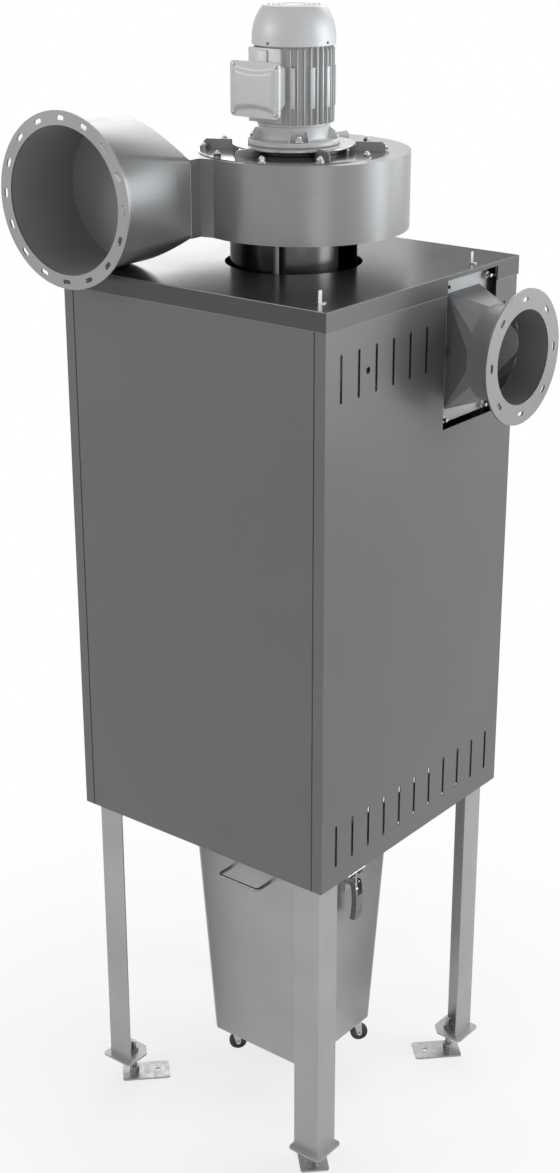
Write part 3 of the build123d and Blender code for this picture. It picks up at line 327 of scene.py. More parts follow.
def make_finishes():
    """Every finish of the machine, by the name that the pieces use."""
    along_z, round_z = (1, 1, 0.03), (0.05, 0.05, 1)
    return {
        "panel": coated_sheet("panel_coating", (0.134, 0.136, 0.137), 0.45, 0.3),
        "lid": coated_sheet("lid_coating", (0.068, 0.069, 0.07), 0.6, 0.2),
        # lighter copy of the lid's coating for its top: painted light
        "lid_top": coated_sheet("lid_top_painted_light_coating", (0.085, 0.087, 0.088), 0.6, 0.21),
        "leg": brushed_sheet("leg_steel", (0.37, 0.37, 0.365), 0.7, 0.4, along_z),
        "zinc": zinc_sheet("galvanised_sheet", (0.34, 0.34, 0.34), 0.38),
        "flange": brushed_sheet("flange_steel", (0.3, 0.3, 0.295), 0.7, 0.4),
        "bin": brushed_sheet("bin_steel", (0.372, 0.372, 0.37), 0.7, 0.36, along_z),
        "fan": brushed_sheet("fan_steel", (0.262, 0.264, 0.266), 0.42, 0.32, round_z),
        # lighter, more matt copy of the fan steel for the duct's inner faces: painted light
        "inside": brushed_sheet("duct_inside_lightened", (0.3, 0.3, 0.3), 0.25, 0.5),
        # darker copy of the flange steel for the inlet's flange: painted shade to tone down the lamp on that
        # side
        "inlet_flange": brushed_sheet("inlet_flange_shaded_steel", (0.235, 0.237, 0.239), 0.6, 0.4),
        "pipe": coated_sheet("vortex_pipe_sheet", (0.2, 0.2, 0.2), 0.8, 0.26),
        "disc": brushed_sheet("disc_steel", (0.45, 0.45, 0.45), 0.7, 0.22),
        "plate": brushed_sheet("plate_steel", (0.3, 0.3, 0.3), 0.85, 0.14),
        "inlet": brushed_sheet("inlet_steel", (0.22, 0.222, 0.224), 0.3, 0.45),
        # paler steel for the inlet's bolted plate: painted light over its shade
        "mount": brushed_sheet("mount_steel_lightened", (0.42, 0.425, 0.43), 0.2, 0.45),
        # paler copy of the lid's coating for the inlet-side skirt: painted light
        "skirt": coated_sheet("skirt_painted_light_coating", (0.098, 0.1, 0.101), 0.45, 0.3),
        "collar": coated_sheet("collar_coating", (0.012, 0.012, 0.013), 0.3, 0.22),
        "motor": cast_paint("motor_enamel", (0.575, 0.58, 0.58), 0.46),
        # darker copy of the motor's enamel for the barrel between the fins: painted shade
        "motor_shaded": cast_paint("motor_barrel_shaded_enamel", (0.38, 0.385, 0.385), 0.45),
        "lip": coated_sheet("lip_steel", (0.62, 0.62, 0.62), 0.1, 0.4),
        "bright": plated_steel("bright_plating", (0.48, 0.48, 0.47), 0.3),
        "wire": plated_steel("handle_wire", (0.3, 0.3, 0.3), 0.4),
        "lever": plated_steel("lever_plating", (0.24, 0.24, 0.245), 0.38),
        # near-black rims in the ventilation slots: painted shade
        "shadow": rubber("slot_painted_shade", (0.012, 0.012, 0.012), 0.7),
        "nylon": rubber("hub_nylon", (0.045, 0.045, 0.046), 0.45),
        "seal": rubber("seal_rubber", (0.02, 0.02, 0.02), 0.6),
        "tread": rubber("tread_rubber", (0.018, 0.018, 0.018), 0.5),
    }


NODE_FINISHES = {
    "panel": ("side_panel_right", "side_panel_left", "front_panel", "back_panel"),
    "lid": ("lid",),
    "leg": tuple(f"corner_post_{corner}" for corner in CORNERS),
    "flange": ("outlet_flange",),
    "inlet_flange": ("inlet_flange",),
    "pipe": ("vortex_pipe",),
    "fan": ("outlet_hood", "scroll_wall", "scroll_floor", "scroll_roof", "back_plate_ribs"),
    "inlet": ("inlet_hood",),
    "plate": ("back_plate",),
    "disc": ("motor_disc",),
    "collar": ("neck_collar",),
    "motor": ("motor_shield", "motor_body", "terminal_box", "terminal_cover", "motor_cowl"),
    "bin": ("dust_bin", "bin_cover"),
    "bright": (
        "inlet_bolts", "lid_tabs", "latch_base_right", "latch_base_left",
        "latch_tee_right", "latch_tee_left", *(f"caster_fork_{corner}" for corner in CORNERS),
    ),
    "wire": ("bin_handle",),
    "lever": ("latch_lever_right", "latch_lever_left", "latch_catch_right", "latch_catch_left"),
    "seal": ("bin_gasket",),
    "tread": tuple(f"caster_wheel_{corner}" for corner in CORNERS),
}


def dress_nodes(finishes):
    """Every carried-over solid gets its finish; the rest are galvanised."""
    finish_of = {name: kind for kind, names in NODE_FINISHES.items() for name in names}
    for name, node in node_parts.items():
        node.data.materials.clear()
        node.data.materials.append(finishes[finish_of.get(name, "zinc")])


def dress_lid(finishes):
    """The lid's top has its own gloss and a lighter copy of the coating, and its skirt on the inlet side a
    paler copy: both painted light where the lamps fall.
    """
    lid = node_parts["lid"].data
    lid.materials.append(finishes["skirt"])
    lid.materials.append(finishes["lid_top"])
    straight_on = 0.9
    for face in lid.polygons:
        if face.normal.x > straight_on:
            face.material_index = 1
        elif face.normal.z > straight_on:
            face.material_index = 2
        else:
            face.material_index = 0


def dress_inlet_plate(finishes):
    """The bolted plate of the inlet hood gets a paler finish than the hood: painted light lifting it out of
    its shade.
    """
    hood = node_parts["inlet_hood"].data
    hood.materials.append(finishes["mount"])
    straight_on = 0.95
    plate_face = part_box("inlet_bolts")[0][0] + 0.001
    for face in hood.polygons:
        face.material_index = int(face.normal.x > straight_on and face.center.x < plate_face)


# ---- making pieces

def add_piece(name, mesh, body):
    """Links a finished mesh as a piece that rides on a body."""
    mesh.name = name
    piece = bpy.data.objects.new(name, mesh)
    bpy.context.scene.collection.objects.link(piece)
    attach(piece, body)
    return piece


def mesh_from(shape, material, smooth_angle=40):
    """A mesh from a bmesh, closed up, with smooth faces up to an angle."""
    same_point = 1e-6
    bmesh.ops.remove_doubles(shape, verts=shape.verts, dist=same_point)
    bmesh.ops.recalc_face_normals(shape, faces=shape.faces)
    for face in shape.faces:
        face.smooth = True
    limit = math.radians(smooth_angle)
    for edge in shape.edges:
        edge.smooth = len(edge.link_faces) == 2 and edge.calc_face_angle(0) < limit
    mesh = bpy.data.meshes.new("piece")
    shape.to_mesh(mesh)
    shape.free()
    mesh.materials.append(material)
    return mesh


def bridge(shape, rings):
    """Faces between rings of corners that follow one another; a ring may be a single point."""
    for low, high in zip(rings, rings[1:]):
        sides = max(len(low), len(high))
        if sides == 1:
            continue
        for side in range(sides):
            after = (side + 1) % sides
            if len(low) == 1:
                shape.faces.new((low[0], high[after], high[side]))
            elif len(high) == 1:
                shape.faces.new((low[side], low[after], high[0]))
            else:
                shape.faces.new((low[side], low[after], high[after], high[side]))


def turn_profile(shape, profile, matrix, sides):
    """Turns a closed profile of (radius, height) points about an axis."""
    rings = []
    for radius, height in profile:
        if radius == 0:
            rings.append([shape.verts.new(matrix @ Vector((0, 0, height)))])
            continue
        ring = []
        for side in range(sides):
            angle = 2 * math.pi * side / sides
            point = Vector((radius * math.cos(angle), radius * math.sin(angle), height))
            ring.append(shape.verts.new(matrix @ point))
        rings.append(ring)
    if len(rings[0]) > 1 and len(rings[-1]) > 1:
        rings.append(rings[0])
    bridge(shape, rings)


def round_edges(shape, radius, segments=2):
    """Rounds every edge of a shape."""
    edges = list(shape.edges)
    bmesh.ops.bevel(shape, geom=edges, offset=radius, segments=segments, affect="EDGES", profile=0.5)


def box_at(shape, low, high):
    """A block between two corners, as 8 corners and 6 faces."""
    across, along, up = zip(low, high)
    corners = [shape.verts.new((x, y, z)) for z in up for y in along for x in across]
    for ring in ((0, 2, 3, 1), (4, 5, 7, 6), (0, 1, 5, 4), (1, 3, 7, 5), (3, 2, 6, 7), (2, 0, 4, 6)):
        shape.faces.new([corners[index] for index in ring])


def slab(shape, outline, thickness, lift=0.0):
    """A flat plate from an outline of (x, z) points, thick along Y."""
    half = thickness / 2
    near, far = ([shape.verts.new((x, y, z + lift)) for x, z in outline] for y in (-half, half))
    shape.faces.new(near)
    shape.faces.new(list(reversed(far)))
    bridge(shape, [near, far])


def facing(place, direction):
    """A frame at a place whose Z points along a direction."""
    return Matrix.Translation(place) @ Vector(direction).to_track_quat("Z", "Y").to_matrix().to_4x4()


def socket(tree, name):
    """The input of a geometry tree that has a name."""
    return next(item for item in tree.interface.items_tree if item.name == name and item.in_out == "INPUT")


def grow(name, tree, source, values, body):
    """Runs a node tree on a source and keeps the result as a plain piece."""
    carrier = bpy.data.objects.new("carrier", source)
    bpy.context.scene.collection.objects.link(carrier)
    modifier = carrier.modifiers.new("grow", "NODES")
    modifier.node_group = tree
    for input_name, value in values.items():
        modifier[socket(tree, input_name).identifier] = value
    bpy.context.view_layer.update()
    grown = carrier.evaluated_get(bpy.context.evaluated_depsgraph_get())
    mesh = bpy.data.meshes.new_from_object(grown)
    carrier.modifiers.clear()
    bpy.data.objects.remove(carrier)
    return add_piece(name, mesh, body)


def repeat_round(name, tree, shape, angles, finish, places=None):
    """A fitting drawn facing +X, repeated at angles about the vertical, at the axis or at places."""
    fitting = bpy.data.objects.new("fitting", mesh_from(shape, finish))
    bpy.context.scene.collection.objects.link(fitting)
    directions = [(*polar(1, angle), 0) for angle in angles]
    source = spots(places or [(0, 0, 0)] * len(directions), directions)
    piece = grow(name, tree, source, {"Fitting": fitting, "Finish": finish}, BODY)
    bpy.data.objects.remove(fitting)
    return piece


def spots(places, directions):
    """Points with a facing direction each, for a tree to put fittings on."""
    mesh = bpy.data.meshes.new("spots")
    mesh.from_pydata([tuple(place) for place in places], [], [])
    attribute = mesh.attributes.new("facing", "FLOAT_VECTOR", "POINT")
    for item, direction in zip(attribute.data, directions):
        item.vector = direction
    return mesh


def new_tree(name, sizes):
    """An empty geometry tree with named sizes and a finish, and its group nodes."""
    tree = bpy.data.node_groups.new(name, "GeometryNodeTree")
    tree.interface.new_socket("Source", in_out="INPUT", socket_type="NodeSocketGeometry")
    for size in sizes:
        tree.interface.new_socket(size, in_out="INPUT", socket_type="NodeSocketFloat")
    tree.interface.new_socket("Finish", in_out="INPUT", socket_type="NodeSocketMaterial")
    tree.interface.new_socket("Result", in_out="OUTPUT", socket_type="NodeSocketGeometry")
    return tree, tree.nodes.new("NodeGroupInput"), tree.nodes.new("NodeGroupOutput")


def tree_sum(tree, first, second, operation="ADD"):
    """Sum, or another operation, of two sockets or numbers."""
    node = tree.nodes.new("ShaderNodeMath")
    node.operation = operation
    for slot_index, value in enumerate((first, second)):
        if isinstance(value, (int, float)):
            node.inputs[slot_index].default_value = value
        else:
            tree.links.new(value, node.inputs[slot_index])
    return node.outputs[0]


def tree_column(tree, radius, height, base, sides):
    """A column of the fastener tree, standing on its base height."""
    column = tree.nodes.new("GeometryNodeMeshCylinder")
    column.inputs["Vertices"].default_value = sides
    tree.links.new(radius, column.inputs["Radius"])
    tree.links.new(height, column.inputs["Depth"])
    lift = tree.nodes.new("ShaderNodeCombineXYZ")
    tree.links.new(tree_sum(tree, base, tree_sum(tree, height, 0.5, "MULTIPLY")), lift.inputs["Z"])
    move = tree.nodes.new("GeometryNodeTransform")
    tree.links.new(column.outputs["Mesh"], move.inputs["Geometry"])
    tree.links.new(lift.outputs[0], move.inputs["Translation"])
    return move.outputs["Geometry"]


def tree_dome(tree, radius, height, base):
    """A rounded top of the fastener tree, half sunk in what it stands on."""
    ball = tree.nodes.new("GeometryNodeMeshUVSphere")
    ball.inputs["Segments"].default_value = 16
    ball.inputs["Rings"].default_value = 8
    tree.links.new(radius, ball.inputs["Radius"])
    smooth = tree.nodes.new("GeometryNodeSetShadeSmooth")
    tree.links.new(ball.outputs["Mesh"], smooth.inputs["Geometry"])
    lift = tree.nodes.new("ShaderNodeCombineXYZ")
    tree.links.new(base, lift.inputs["Z"])
    squash = tree.nodes.new("ShaderNodeCombineXYZ")
    squash.inputs["X"].default_value = 1
    squash.inputs["Y"].default_value = 1
    tree.links.new(tree_sum(tree, height, radius, "DIVIDE"), squash.inputs["Z"])
    move = tree.nodes.new("GeometryNodeTransform")
    tree.links.new(smooth.outputs["Geometry"], move.inputs["Geometry"])
    tree.links.new(lift.outputs[0], move.inputs["Translation"])
    tree.links.new(squash.outputs[0], move.inputs["Scale"])
    return move.outputs["Geometry"]


def tree_scatter(tree, group_in, group_out, fitting, axis="Z", pivot="AUTO"):
    """Puts a fitting on every point, its axis along the facing, realised and in its finish."""
    attribute = tree.nodes.new("GeometryNodeInputNamedAttribute")
    attribute.data_type = "FLOAT_VECTOR"
    attribute.inputs["Name"].default_value = "facing"
    align = tree.nodes.new("FunctionNodeAlignRotationToVector")
    align.axis = axis
    align.pivot_axis = pivot
    tree.links.new(attribute.outputs["Attribute"], align.inputs["Vector"])
    scatter = tree.nodes.new("GeometryNodeInstanceOnPoints")
    tree.links.new(group_in.outputs["Source"], scatter.inputs["Points"])
    tree.links.new(fitting, scatter.inputs["Instance"])
    tree.links.new(align.outputs["Rotation"], scatter.inputs["Rotation"])
    real = tree.nodes.new("GeometryNodeRealizeInstances")
    tree.links.new(scatter.outputs["Instances"], real.inputs["Geometry"])
    finish_with(tree, group_in, group_out, real.outputs["Geometry"])


def finish_with(tree, group_in, group_out, geometry):
    """Ends a tree with its finish on the geometry."""
    paint = tree.nodes.new("GeometryNodeSetMaterial")
    tree.links.new(geometry, paint.inputs["Geometry"])
    tree.links.new(group_in.outputs["Finish"], paint.inputs["Material"])
    tree.links.new(paint.outputs["Geometry"], group_out.inputs["Result"])


def fastener_tree():
    """Washer, hexagon head and rounded top on every point."""
    sizes = ("Head Radius", "Head Height", "Washer Radius", "Washer Height", "Dome Radius", "Dome Height")
    tree, group_in, group_out = new_tree("fastener", sizes)
    size = group_in.outputs
    washer = tree_column(tree, size["Washer Radius"], size["Washer Height"], 0.0, 24)
    head = tree_column(tree, size["Head Radius"], size["Head Height"], size["Washer Height"], 6)
    top = tree_sum(tree, size["Washer Height"], size["Head Height"])
    dome = tree_dome(tree, size["Dome Radius"], size["Dome Height"], top)
    join = tree.nodes.new("GeometryNodeJoinGeometry")
    for fitting in (dome, head, washer):
        tree.links.new(fitting, join.inputs[0])
    tree_scatter(tree, group_in, group_out, join.outputs[0])
    return tree


def turned_tree():
    """Any fitting on every point, turned about the vertical to the point's facing."""
    tree, group_in, group_out = new_tree("turned", ())
    tree.interface.new_socket("Fitting", in_out="INPUT", socket_type="NodeSocketObject")
    info = tree.nodes.new("GeometryNodeObjectInfo")
    tree.links.new(group_in.outputs["Fitting"], info.inputs["Object"])
    tree_scatter(tree, group_in, group_out, info.outputs["Geometry"], axis="X", pivot="Z")
    return tree


def bead_tree():
    """A round bead, such as a weld or a rolled edge, along a path."""
    tree, group_in, group_out = new_tree("bead", ("Bead Radius",))
    ring = tree.nodes.new("GeometryNodeCurvePrimitiveCircle")
    ring.inputs["Resolution"].default_value = 8
    tree.links.new(group_in.outputs["Bead Radius"], ring.inputs["Radius"])
    path = tree.nodes.new("GeometryNodeMeshToCurve")
    tree.links.new(group_in.outputs["Source"], path.inputs["Mesh"])
    skin = tree.nodes.new("GeometryNodeCurveToMesh")
    skin.inputs["Fill Caps"].default_value = True
    tree.links.new(path.outputs["Curve"], skin.inputs["Curve"])
    tree.links.new(ring.outputs["Curve"], skin.inputs["Profile Curve"])
    smooth = tree.nodes.new("GeometryNodeSetShadeSmooth")
    tree.links.new(skin.outputs["Mesh"], smooth.inputs["Geometry"])
    finish_with(tree, group_in, group_out, smooth.outputs["Geometry"])
    return tree


def trail(points):
    """A line of edges for the bead tree."""
    mesh = bpy.data.meshes.new("trail")
    edges = [(index, index + 1) for index in range(len(points) - 1)]
    mesh.from_pydata(points, edges, [])
    return mesh


# ---- fasteners

def fastener_sizes(head, washer, dome, finish):
    """Sizes of one fastener: (radius, height) of its head, washer and dome."""
    names = ("Head", "Washer", "Dome")
    values = {f"{name} Radius": pair[0] for name, pair in zip(names, (head, washer, dome))}
    values.update({f"{name} Height": pair[1] for name, pair in zip(names, (head, washer, dome))})
    values["Finish"] = finish
    return values


def bolt_ring(radius, count, first_angle, height):
    """Places round the vertical axis at a height."""
    return [(*polar(radius, first_angle + 360 * step / count), height) for step in range(count)]


def add_fan_nuts(tree, finish):
    """Cap nuts round the fan's plate."""
    ring_radius, count = 0.243, 10
    places = bolt_ring(ring_radius, count, 0, FAN_PLATE_TOP)
    sizes = fastener_sizes((0.0098, 0.0082), (0.0118, 0.0016), (0.0074, 0.0072), finish)
    grow("fan_cap_nuts", tree, spots(places, [(0, 0, 1)] * count), sizes, BODY)


def add_motor_bolts(tree, finish):
    """Hexagon bolts that hold the motor's flange on its disc."""
    ring_radius, count, first_turn, lift = 0.1085, 4, 45, 0.0335
    places = bolt_ring(ring_radius, count, first_turn, FAN_PLATE_TOP + lift)
    sizes = fastener_sizes((0.0108, 0.0092), (0.0135, 0.002), (0.007, 0.007), finish)
    grow("motor_bolts", tree, spots(places, [(0, 0, 1)] * count), sizes, BODY)


def add_inlet_nuts(tree, finish):
    """Flat hexagon nuts on the bolts of the inlet's plate."""
    low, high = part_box("inlet_bolts")
    inset_up, inset_across = 0.0087, 0.01
    rows = (low[2] + inset_up, (low[2] + high[2]) / 2, high[2] - inset_up)
    columns = (low[1] + inset_across, high[1] - inset_across)
    places = [(low[0], y, z) for y in columns for z in rows]
    sizes = fastener_sizes((0.0105, 0.009), (0.0128, 0.0016), (0.0065, 0.0015), finish)
    grow("inlet_nuts", tree, spots(places, [(1, 0, 0)] * 6), sizes, BODY)


def add_cowl_screws(tree, finish):
    """Four small round-headed screws that hold the cowl."""
    ring_radius, count, lift = 0.1117, 4, 0.019
    places = bolt_ring(ring_radius, count, 0, COWL_FOOT + lift)
    directions = bolt_ring(1, count, 0, 0)
    sizes = fastener_sizes((0.0028, 0.0012), (0.0042, 0.0008), (0.0034, 0.0018), finish)
    grow("cowl_screws", tree, spots(places, directions), sizes, BODY)


# ---- cabinet: seams, slots and rails

LID_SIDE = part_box("lid")[1][0]
LID_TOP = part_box("lid")[1][2]
SKIRT_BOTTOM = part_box("lid")[0][2]
PANEL_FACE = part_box("side_panel_right")[1][0]
PANEL_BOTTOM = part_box("front_panel")[0][2]
PANEL_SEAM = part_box("front_panel")[1][0] + 0.0006
INLET_Y = 0.214
NOTCH_HALF = 0.124


def add_skirt_hem_highlight(tree, finish):
    """The rolled lower edge of the lid's skirt, open at the inlet's notch, in a paler finish than the lid: a
    painted highlight along the edge.
    """
    side = LID_SIDE - 0.0006
    corner = side - 0.004
    low = SKIRT_BOTTOM + 0.0004
    path = [
        (side, INLET_Y - NOTCH_HALF, low), (side, -corner, low), (corner, -side, low), (-corner, -side, low),
        (-side, -corner, low), (-side, corner, low), (-corner, side, low), (corner, side, low),
        (side, corner, low), (side, INLET_Y + NOTCH_HALF, low),
    ]
    grow("skirt_hem", tree, trail(path), {"Bead Radius": 0.001, "Finish": finish}, BODY)


def add_lid_edge_highlight(tree, finish):
    """A bright bead where the lid's top folds down, at the front and left: a painted highlight."""
    radius = 0.0009
    side = LID_SIDE - radius
    corner = side - 0.003
    high = LID_TOP - radius
    path = [
        (side, -corner, high), (corner, -side, high), (-corner, -side, high), (-side, -corner, high),
        (-side, side, high),
    ]
    grow("lid_edge", tree, trail(path), {"Bead Radius": radius, "Finish": finish}, BODY)


def add_seam_shade_strips(tree, finish):
    """Dark strips in the upright seams of the front and back panels: sealing strips, and painted shade in
    the seams' gaps.
    """
    end_gap = 0.001
    for side_name, x in (("right", PANEL_SEAM), ("left", -PANEL_SEAM)):
        for face_name, y in (("front", -PANEL_FACE), ("back", PANEL_FACE)):
            path = [(x, y, PANEL_BOTTOM + end_gap), (x, y, SKIRT_BOTTOM - end_gap)]
            sizes = {"Bead Radius": 0.0015, "Finish": finish}
            grow(f"seam_strip_{face_name}_{side_name}", tree, trail(path), sizes, BODY)


SLOT_HEIGHT = 0.125
SLOT_WIDTH = 0.007
SLOT_PITCH = 0.076
LOWER_SLOTS = PANEL_BOTTOM + 0.1235
UPPER_SLOTS = LID_TOP - 0.183


def slot_outline(grow_by):
    """The slot's outline, grown all round, as (y, z) points."""
    radius = SLOT_WIDTH / 2 + grow_by
    straight = (SLOT_HEIGHT - SLOT_WIDTH) / 2
    points = []
    for middle, first_turn in ((straight, 0), (-straight, 180)):
        for turn in range(first_turn, first_turn + 181, 30):
            across, up = polar(radius, turn)
            points.append((across, middle + up))
    return points


def add_slot_shade_rims(tree, finish):
    """A near-black rim in every ventilation slot: painted shade at the slot's edge."""
    shape = bmesh.new()
    rim_width, depth, rise, foot = 0.0013, 0.0012, 0.0003, 0.0001
    inner, outer = slot_outline(0.0), slot_outline(rim_width)
    rings = []
    for outline, x in ((inner, -depth), (inner, rise), (outer, rise), (outer, -foot)):
        rings.append([shape.verts.new((x, y, z)) for y, z in outline])
    bridge(shape, rings + rings[:1])
    whole_row, row_beside_inlet = range(-5, 6), range(-5, 1)
    rows = [(1, row, LOWER_SLOTS) for row in whole_row]
    rows += [(-1, row, LOWER_SLOTS) for row in whole_row]
    rows += [(1, row, UPPER_SLOTS) for row in row_beside_inlet]
    rows += [(-1, row, UPPER_SLOTS) for row in whole_row]
    places = [(side * PANEL_FACE, row * SLOT_PITCH, height) for side, row, height in rows]
    angles = [0 if side > 0 else 180 for side, row, height in rows]
    repeat_round("slot_rims", tree, shape, angles, finish, places)


def add_base_rails(finish):
    """Tubes between the posts, just inside the panels, that show through the lower slots."""
    shape = bmesh.new()
    outer, inner, reach = 0.417, 0.383, 0.331
    low, high = 1.04, 1.11
    for sign in (-1, 1):
        near, far = sorted((sign * inner, sign * outer))
        box_at(shape, (near, -reach, low), (far, reach, high))
        box_at(shape, (-reach, near, low), (reach, far, high))
    round_edges(shape, 0.004, segments=3)
    add_piece("base_rails", mesh_from(shape, finish), BODY)


# ---- outlet hood

FLANGE_LOW, FLANGE_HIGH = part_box("outlet_flange")
HOOD_CENTRE = tuple((FLANGE_LOW[axis] + FLANGE_HIGH[axis]) / 2 for axis in (0, 2))
HOOD_RADIUS = 0.1965
HOOD_SHEET = 0.002
HOOD_PIPE_FRONT = FLANGE_HIGH[1]
HOOD_PIPE_BACK = -0.5
HOOD_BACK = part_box("outlet_hood")[1][1]
NECK_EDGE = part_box("outlet_hood")[1][0]
SCROLL_LOW, SCROLL_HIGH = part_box("scroll_wall")
HOOD_CORNER_TURN = 40
HOOD_BEND_SHARE = 0.333
HOOD_SIDES = 160
HOOD_STEPS = 14


def hood_end(turn):
    """Point of the hood's outline at the scroll for a turn from +X, off the pipe's centre."""
    if abs(turn) >= 90:
        return polar(HOOD_RADIUS, turn)
    edge = NECK_EDGE - HOOD_CENTRE[0]
    height = (SCROLL_HIGH[2] if turn > 0 else SCROLL_LOW[2]) - HOOD_CENTRE[1]
    if abs(turn) <= HOOD_CORNER_TURN:
        return edge, height * abs(turn) / HOOD_CORNER_TURN
    share = (90 - abs(turn)) / (90 - HOOD_CORNER_TURN)
    crown = math.copysign(HOOD_RADIUS, height)
    bend = (edge * HOOD_BEND_SHARE, crown)
    across = 2 * share * (1 - share) * bend[0] + share ** 2 * edge
    up = (1 - share) ** 2 * crown + 2 * share * (1 - share) * bend[1] + share ** 2 * height
    return across, up


def hood_ring(share, inset):
    """The hood's outline at a share of its length, from the pipe's circle to its end at the scroll."""
    points = []
    for step in range(HOOD_SIDES):
        turn = 360 * step / HOOD_SIDES - 180
        circle = polar(HOOD_RADIUS, turn)
        end = hood_end(turn)
        point = [circle[axis] + (end[axis] - circle[axis]) * share for axis in (0, 1)]
        shrink = 1 - inset / math.hypot(*point)
        points.append((HOOD_CENTRE[0] + point[0] * shrink, HOOD_CENTRE[1] + point[1] * shrink))
    return points


def neck_window():
    """The opening to the scroll, met along each ray of the hood's outline."""
    back_wall, edge_wall, frame_wall = 0.055, 0.002, 0.003
    west, east = SCROLL_LOW[0] + back_wall, NECK_EDGE - edge_wall
    south, north = SCROLL_LOW[2] + frame_wall, SCROLL_HIGH[2] - frame_wall
    middle = ((west + east) / 2, (south + north) / 2)
    half = ((east - west) / 2, (north - south) / 2)
    points = []
    for x, z in hood_ring(1.0, 0.0):
        ray = (x - middle[0], z - middle[1])
        reach = min(half[axis] / max(abs(ray[axis]), 1e-9) for axis in (0, 1))
        reach = min(reach, 0.999)
        points.append((middle[0] + ray[0] * reach, middle[1] + ray[1] * reach))
    return points


def hood_section(step, inset):
    """Place along Y and outline of the hood, a step on from its pipe towards the scroll."""
    place = HOOD_PIPE_BACK + (HOOD_BACK - HOOD_PIPE_BACK) * step / HOOD_STEPS
    return place, hood_ring(step / HOOD_STEPS, inset)


def add_outlet_hood(finish, lightened_inside_finish):
    """The hood from the round flange to the scroll's upright neck, in one smooth sheet; its inner faces and
    its faces turned to the front take a lighter copy of the steel, painted light inside the duct.
    """
    shape = bmesh.new()
    outside = [(HOOD_PIPE_FRONT, hood_ring(0.0, 0.0))]
    outside += [hood_section(step, 0.0) for step in range(HOOD_STEPS + 1)]
    inside = [(HOOD_BACK - HOOD_SHEET, hood_ring(1.0, HOOD_SHEET))]
    inside += [hood_section(step, HOOD_SHEET) for step in reversed(range(HOOD_STEPS))]
    inside.append((HOOD_PIPE_FRONT, hood_ring(0.0, HOOD_SHEET)))
    window = neck_window()
    rings = outside + [(HOOD_BACK, window), (HOOD_BACK - HOOD_SHEET, window)] + inside
    made = [[shape.verts.new((x, y, z)) for x, z in outline] for y, outline in rings]
    bridge(shape, made + made[:1])
    mesh = mesh_from(shape, finish, 45)
    mesh.materials.append(lightened_inside_finish)
    # inner and forward-facing faces get the lighter copy: painted light inside the duct
    for face in mesh.polygons:
        across = (face.center.x - HOOD_CENTRE[0], face.center.z - HOOD_CENTRE[1])
        inward = face.normal.x * across[0] + face.normal.z * across[1] < 0
        face.material_index = int(inward or face.normal.y < -0.9)
    hood = add_piece("outlet_hood_sheet", mesh, BODY)
    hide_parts("outlet_hood")


def add_hood_seam(tree, finish):
    """The bright welded seam where the hood meets the scroll's upright neck."""
    proud, sunk, end_gap = 0.0002, 0.0005, 0.001
    ends = (SCROLL_LOW[2] + end_gap, SCROLL_HIGH[2] - end_gap)
    path = [(NECK_EDGE + proud, HOOD_BACK - sunk, height) for height in ends]
    grow("hood_seam", tree, trail(path), {"Bead Radius": 0.0011, "Finish": finish}, BODY)


def add_collar_lip(finish):
    """The bright folded lip on the collar's open edge."""
    low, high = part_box("neck_collar")
    shape = bmesh.new()
    turn, radius, half_thick, half_wide = 293, 0.1765, 0.0012, 0.006
    matrix = Matrix.Rotation(math.radians(turn), 4, "Z") @ Matrix.Translation((radius, 0, 0))
    box_at(shape, (-half_thick, -half_wide, low[2] + 0.002), (half_thick, half_wide, high[2] - 0.001))
    round_edges(shape, 0.0007)
    bmesh.ops.transform(shape, matrix=matrix, verts=shape.verts)
    add_piece("collar_lip", mesh_from(shape, finish), BODY)


# ---- terminal box

COVER_LOW, COVER_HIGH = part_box("terminal_cover")
COVER_RELIEF = 0.0065


def cover_height(across, up, half_across, half_up):
    """Relief of the cover: a flat rim, and a crowned middle whose top and bottom edges bow inward."""
    side_rim, end_rim, bow_depth, slope = 0.010, 0.009, 0.013, 0.012
    bow = bow_depth * (1 - (across / half_across) ** 2)
    room = min(half_across - side_rim - abs(across), half_up - end_rim - bow - abs(up))
    share = max(0.0, min(1.0, room / slope))
    return COVER_RELIEF * share * share * (3 - 2 * share)


def add_terminal_cover(finish):
    """The pressed cover: a rounded rim with a crowned middle."""
    shape = bmesh.new()
    half_across = (COVER_HIGH[0] - COVER_LOW[0]) / 2
    half_up = (COVER_HIGH[2] - COVER_LOW[2]) / 2
    middle = ((COVER_HIGH[0] + COVER_LOW[0]) / 2, (COVER_HIGH[2] + COVER_LOW[2]) / 2)
    rim_front = COVER_LOW[1] + COVER_RELIEF
    columns, rows = 46, 42
    corner = 0.012
    grid = []
    for row in range(rows + 1):
        line = []
        for column in range(columns + 1):
            across = half_across * (2 * column / columns - 1)
            up = half_up * (2 * row / rows - 1)
            spare = (abs(across) - half_across + corner, abs(up) - half_up + corner)
            reach = math.hypot(*spare)
            if min(spare) > 0 and reach > corner:
                across -= math.copysign(spare[0] * (1 - corner / reach), across)
                up -= math.copysign(spare[1] * (1 - corner / reach), up)
            front = rim_front - cover_height(across, up, half_across, half_up)
            line.append(shape.verts.new((middle[0] + across, front, middle[1] + up)))
        grid.append(line)
    for low, high in zip(grid, grid[1:]):
        for column in range(columns):
            shape.faces.new((low[column], low[column + 1], high[column + 1], high[column]))
    rim = [edge for edge in shape.edges if len(edge.link_faces) == 1]
    grown = bmesh.ops.extrude_edge_only(shape, edges=rim)["geom"]
    for item in grown:
        if isinstance(item, bmesh.types.BMVert):
            item.co.y = COVER_HIGH[1]
    back = [edge for edge in shape.edges if len(edge.link_faces) == 1]
    bmesh.ops.holes_fill(shape, edges=back, sides=0)
    cover = add_piece("pressed_cover", mesh_from(shape, finish, 50), BODY)
    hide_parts("terminal_cover")


